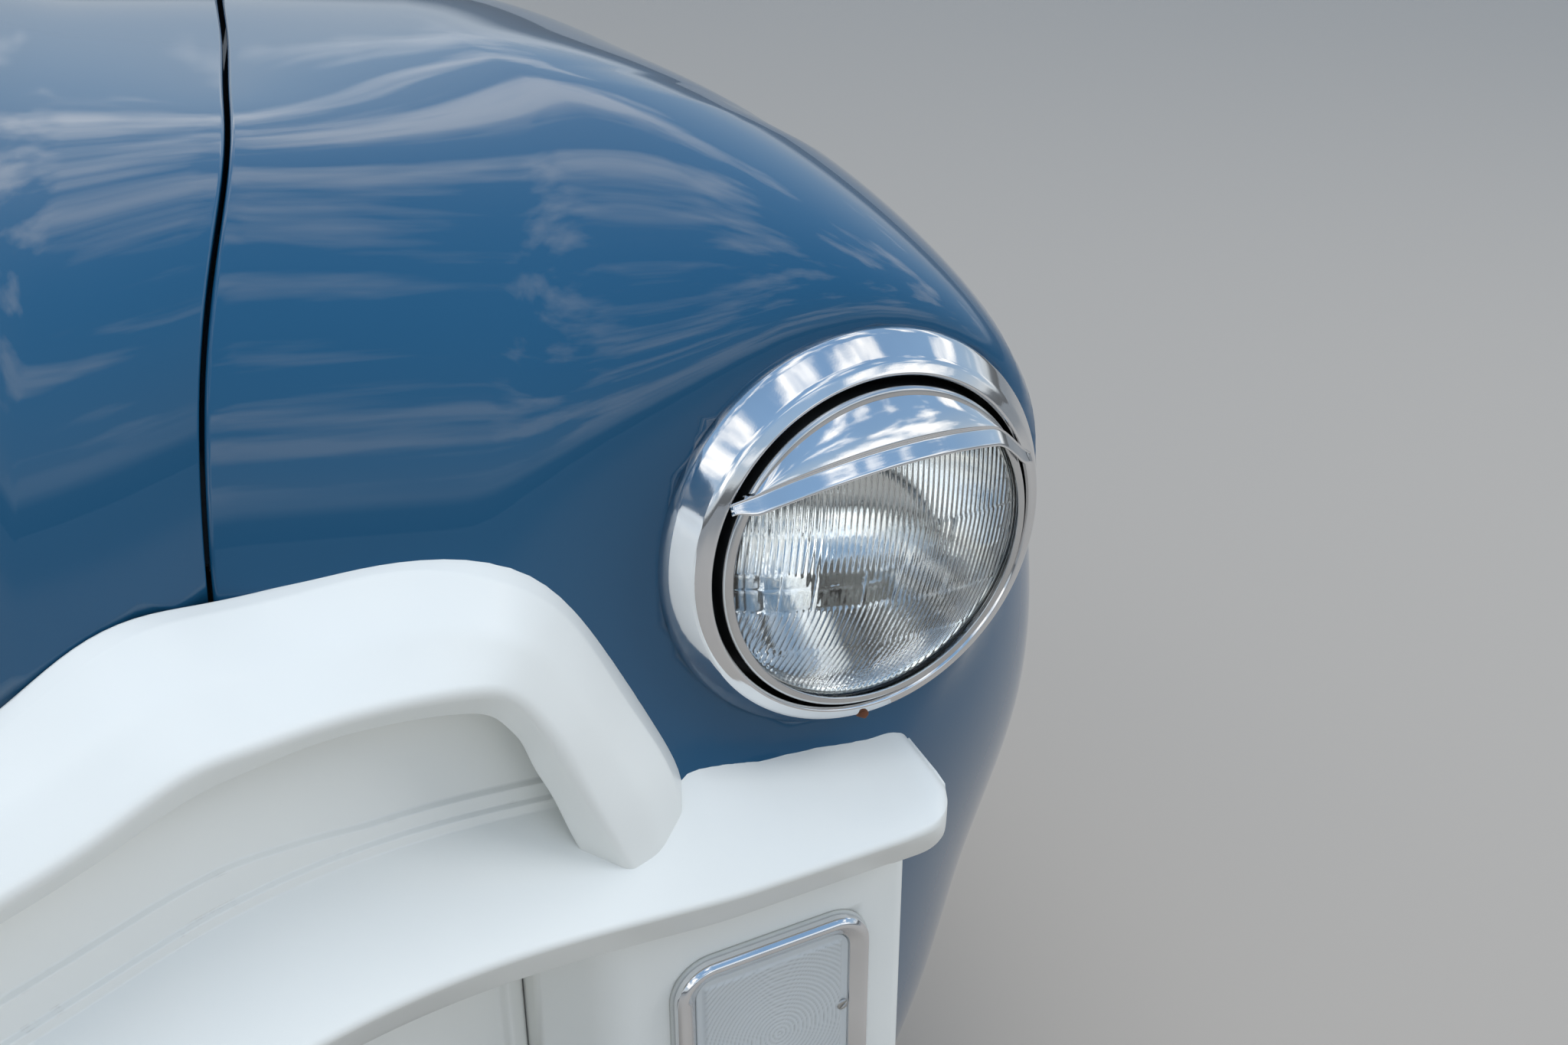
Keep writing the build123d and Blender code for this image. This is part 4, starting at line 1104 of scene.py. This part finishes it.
def visor(name, columns=72, rows=14):
    points = []
    for i in range(columns):
        u = -79.0 + 158.0 * i / (columns - 1)
        low = brim_line(u) + BRIM_RISE
        high = max(math.sqrt(VISOR_RIM**2 - u**2), low + 0.4)
        for j in range(rows):
            share = j / (rows - 1)
            v = low + (high - low) * share
            stand = shade_stand(u) * (1 - share) + RIM_STAND * share
            stand += SHADE_DOME * math.sin(math.pi * share)
            points.append((LAMP[0] + u, dome_y(min(math.hypot(u, v), 94.0), stand), LAMP[1] + v))
    faces = grid_faces(columns, rows)
    first = len(points)
    profile = np.array(rounded_line(BRIM_PROFILE, [1.2, 1.6, 2.0, 0.6, 0.6], arc=4, run=2))
    for i in range(columns + 12):
        u = -86.0 + 179.5 * i / (columns + 11)
        slim = 1 - 0.5 * smooth_share(abs(u - 5.0), 78.0, 91.0)
        for stand, drop in profile:
            v = brim_line(u) + BRIM_RISE - drop * slim
            reach = shade_stand(u) + stand * slim
            points.append((LAMP[0] + u, dome_y(min(math.hypot(u, v), 97.0), reach), LAMP[1] + v))
    faces += [tuple(first + k for k in face) for face in grid_faces(columns + 12, len(profile))]
    return new_piece(name, points, faces, chrome, (LAMP[0], -1180, LAMP[1] + 40), 0.7)


build_pair("headlamp_visor", visor, "chrome", "headlamp_visor")

# %% [markdown]
# ## Lamp panel and parking lamp
# The panel under each headlamp is one bent sheet: it runs back beside the lower panel, rounds a
# wide bend and ends in a flange behind the fender's edge. The parking lamp stands on it: a pressed
# chrome rim that slopes in to a flat lens, whose face is cut in fine rings round its middle.

# %% Build the lamp panel
PANEL_PATH = [(484.6, -1160), (484.6, -1203), (516, -1236), (704, -1236), (704, -1170)]
PANEL_BENDS = [10.0, 34.0, 9.0]
PANEL_TOP, PANEL_BOTTOM = -108.0, -332.0
PARK = (613.0, -217.0)
PARK_SIZE, PARK_CORNER = (124.0, 140.0), 24.0


def park_box(inset):
    width, height = PARK_SIZE[0] / 2 - inset, PARK_SIZE[1] / 2 - inset
    return PARK[0] - width, PARK[0] + width, PARK[1] - height, PARK[1] + height


def lamp_panel(name):
    line = rounded_line(PANEL_PATH, PANEL_BENDS, arc=12, run=8)
    levels = np.linspace(PANEL_BOTTOM, PANEL_TOP, 24)
    points = [(x, y, z) for x, y in line for z in levels]
    faces, inside = grid_faces(len(line), len(levels)), (600, -1100, -220)
    piece = new_piece(name, points, faces, grille_paint, inside, GRILLE_SHEET)
    hole = rounded_box(park_box(5.0), PARK_CORNER - 5)
    carve(piece, prism("lamp_hole", hole, -1300, -1190))
    return piece


build_pair("lamp_panel", lamp_panel, "grille_paint", "lamp_panel")

# %% Press the rim of the parking lamp
# inset from the outer edge, and place along the truck
RIM_PROFILE = [(0, -1236.3), (0, -1243.0), (3.6, -1246.6)]
RIM_PROFILE += [(12.2, -1241.2), (13.0, -1239.6), (13.0, -1236.3)]
GASKET_PROFILE = [(3, -1236.2), (-1.2, -1236.2), (-1.2, -1238.2), (3, -1238.2), (3, -1236.2)]


def box_sweep(name, profile, material, inside_y, thickness=0.0):
    """Carries a profile of (inset, y) round the rounded box of the parking lamp."""
    points = []
    for inset, y in profile:
        ring = rounded_box(park_box(inset), max(PARK_CORNER - inset, 4.0), steps=12)
        points += [(u, y, v) for u, v in ring]
    faces = grid_faces(len(profile), len(ring), closed=True)
    return new_piece(name, points, faces, material, (PARK[0], inside_y, PARK[1]), thickness)


def park_rim(name):
    line = rounded_line(RIM_PROFILE, [2.5, 3.0, 1.0, 0.5], arc=5, run=2)
    return box_sweep(name, line, chrome, -1200, 0.6)


def park_gasket(name):
    return box_sweep(name, GASKET_PROFILE, gasket_pale, -1237)


def park_back(name):
    """The bright floor of the lamp behind its lens."""
    piece = prism(name, rounded_box(park_box(9.0), PARK_CORNER - 9), -1235.4, -1234.2)
    piece.data.materials[0] = lamp_floor
    return piece


build_pair("parking_lamp_floor", park_back, "hardware")
build_pair("parking_lamp_rim", park_rim, "chrome", "parking_lamp_bezel")
build_pair("parking_lamp_gasket", park_gasket, "hardware")

# %% Cut the rings of the parking lens
RING_PITCH, RING_HEIGHT, RING_MIDDLE = 2.8, 0.55, (3.0, -1.0)
LENS_INSET, LENS_FRONT, LENS_BACK, LENS_PROUD = 13.2, -1240.6, -1237.2, 0.8


def park_lens(name, columns=120, rows=140):
    low_u, high_u, low_v, high_v = park_box(LENS_INSET)
    corner = PARK_CORNER - LENS_INSET
    points, dust_and_shade = [], []
    for j in range(rows):
        v = low_v + (high_v - low_v) * j / (rows - 1)
        into = max(0.0, corner - min(v - low_v, high_v - v))
        half = (high_u - low_u) / 2 - corner + math.sqrt(corner**2 - into**2)
        for i in range(columns):
            u = PARK[0] + half * (2 * i / (columns - 1) - 1)
            away = math.hypot(u - PARK[0] - RING_MIDDLE[0], v - PARK[1] - RING_MIDDLE[1])
            edge = min(u - low_u, high_u - u, v - low_v, high_v - v)
            inside = smooth_share(edge, 4.0, 6.0)
            wave = abs(math.cos(math.pi * away / RING_PITCH))
            points.append((u, LENS_FRONT - RING_HEIGHT * wave * inside - LENS_PROUD * inside, v))
            # dust and painted shade: the lens is darker in the grooves between its rings
            dust_and_shade.append(max(0.0, 1 - wave / 0.5) * inside * 0.7)
    count = columns * rows
    faces = grid_faces(rows, columns)
    rim = grid_rim(rows, columns)
    back = [(points[k][0], LENS_BACK, points[k][2]) for k in rim]
    total = len(rim)
    for i, (a, b) in enumerate(zip(rim, rim[1:] + rim[:1])):
        faces.append((a, b, count + (i + 1) % total, count + i))
    faces.append(tuple(range(count + total - 1, count - 1, -1)))
    piece = new_piece(name, points + back, faces, milky_glass, (PARK[0], -1239, PARK[1]))
    mark_groove_dust_and_shade(piece, dust_and_shade + [0.0] * total)
    return piece


build_pair("parking_lens", park_lens, "lamp_glass", "parking_lamp_lens")


# %% Seat the small screws
def screw_head(name, radius=3.6, height=1.6):
    """A low domed head with a slot, at the outer edge of the parking lens."""
    place = Vector((658.0, -1241.2, -214.0))
    rings = [(radius, 0.0), (radius, height * 0.45), (radius * 0.75, height * 0.85), (0.02, height)]
    steps = 32
    points = []
    for r, rise in rings:
        points += [(u, place.y - rise, v) for u, v in disc(r, place.x, place.z, steps)]
    faces = grid_faces(len(rings), steps, closed=True) + [tuple(range(steps - 1, -1, -1))]
    piece = new_piece(name, points, faces, zinc, place)
    slot = [(-5, -3.5), (-4.4, -4.1), (5, 3.5), (4.4, 4.1)]
    slot = [(place.x + u, place.z + v) for u, v in slot]
    carve(piece, prism("slot", slot, place.y - 4, place.y - 0.9))
    return piece


build_pair("parking_lamp_screw", screw_head, "hardware")

# %% [markdown]
# ## Pieces that keep their CAD mesh
# Flat plates, brackets and the parts under the hood look right as the CAD made them. They only
# need a finish, so a table names the material of each.

# %% Finish the CAD pieces
BLACK_PARTS = ("inner_skirt", "radiator_support", "latch_panel", "hinge", "hood_brace")
CAD_FINISH = dict.fromkeys((*BLACK_PARTS, "headlamp_bucket"), black_paint)
CAD_FINISH |= {"cowl_panel": body_paint, "gravel_pan": grille_paint, "radiator": core_black}
CAD_FINISH |= {"latch_bolt": zinc, "parking_lamp_body": dull_chrome}

for name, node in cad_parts.items():
    finish = next((m for part, m in CAD_FINISH.items() if name.startswith(part)), None)
    if finish is not None and node.data.materials:
        node.data.materials[0] = finish
        print(name, finish.name)
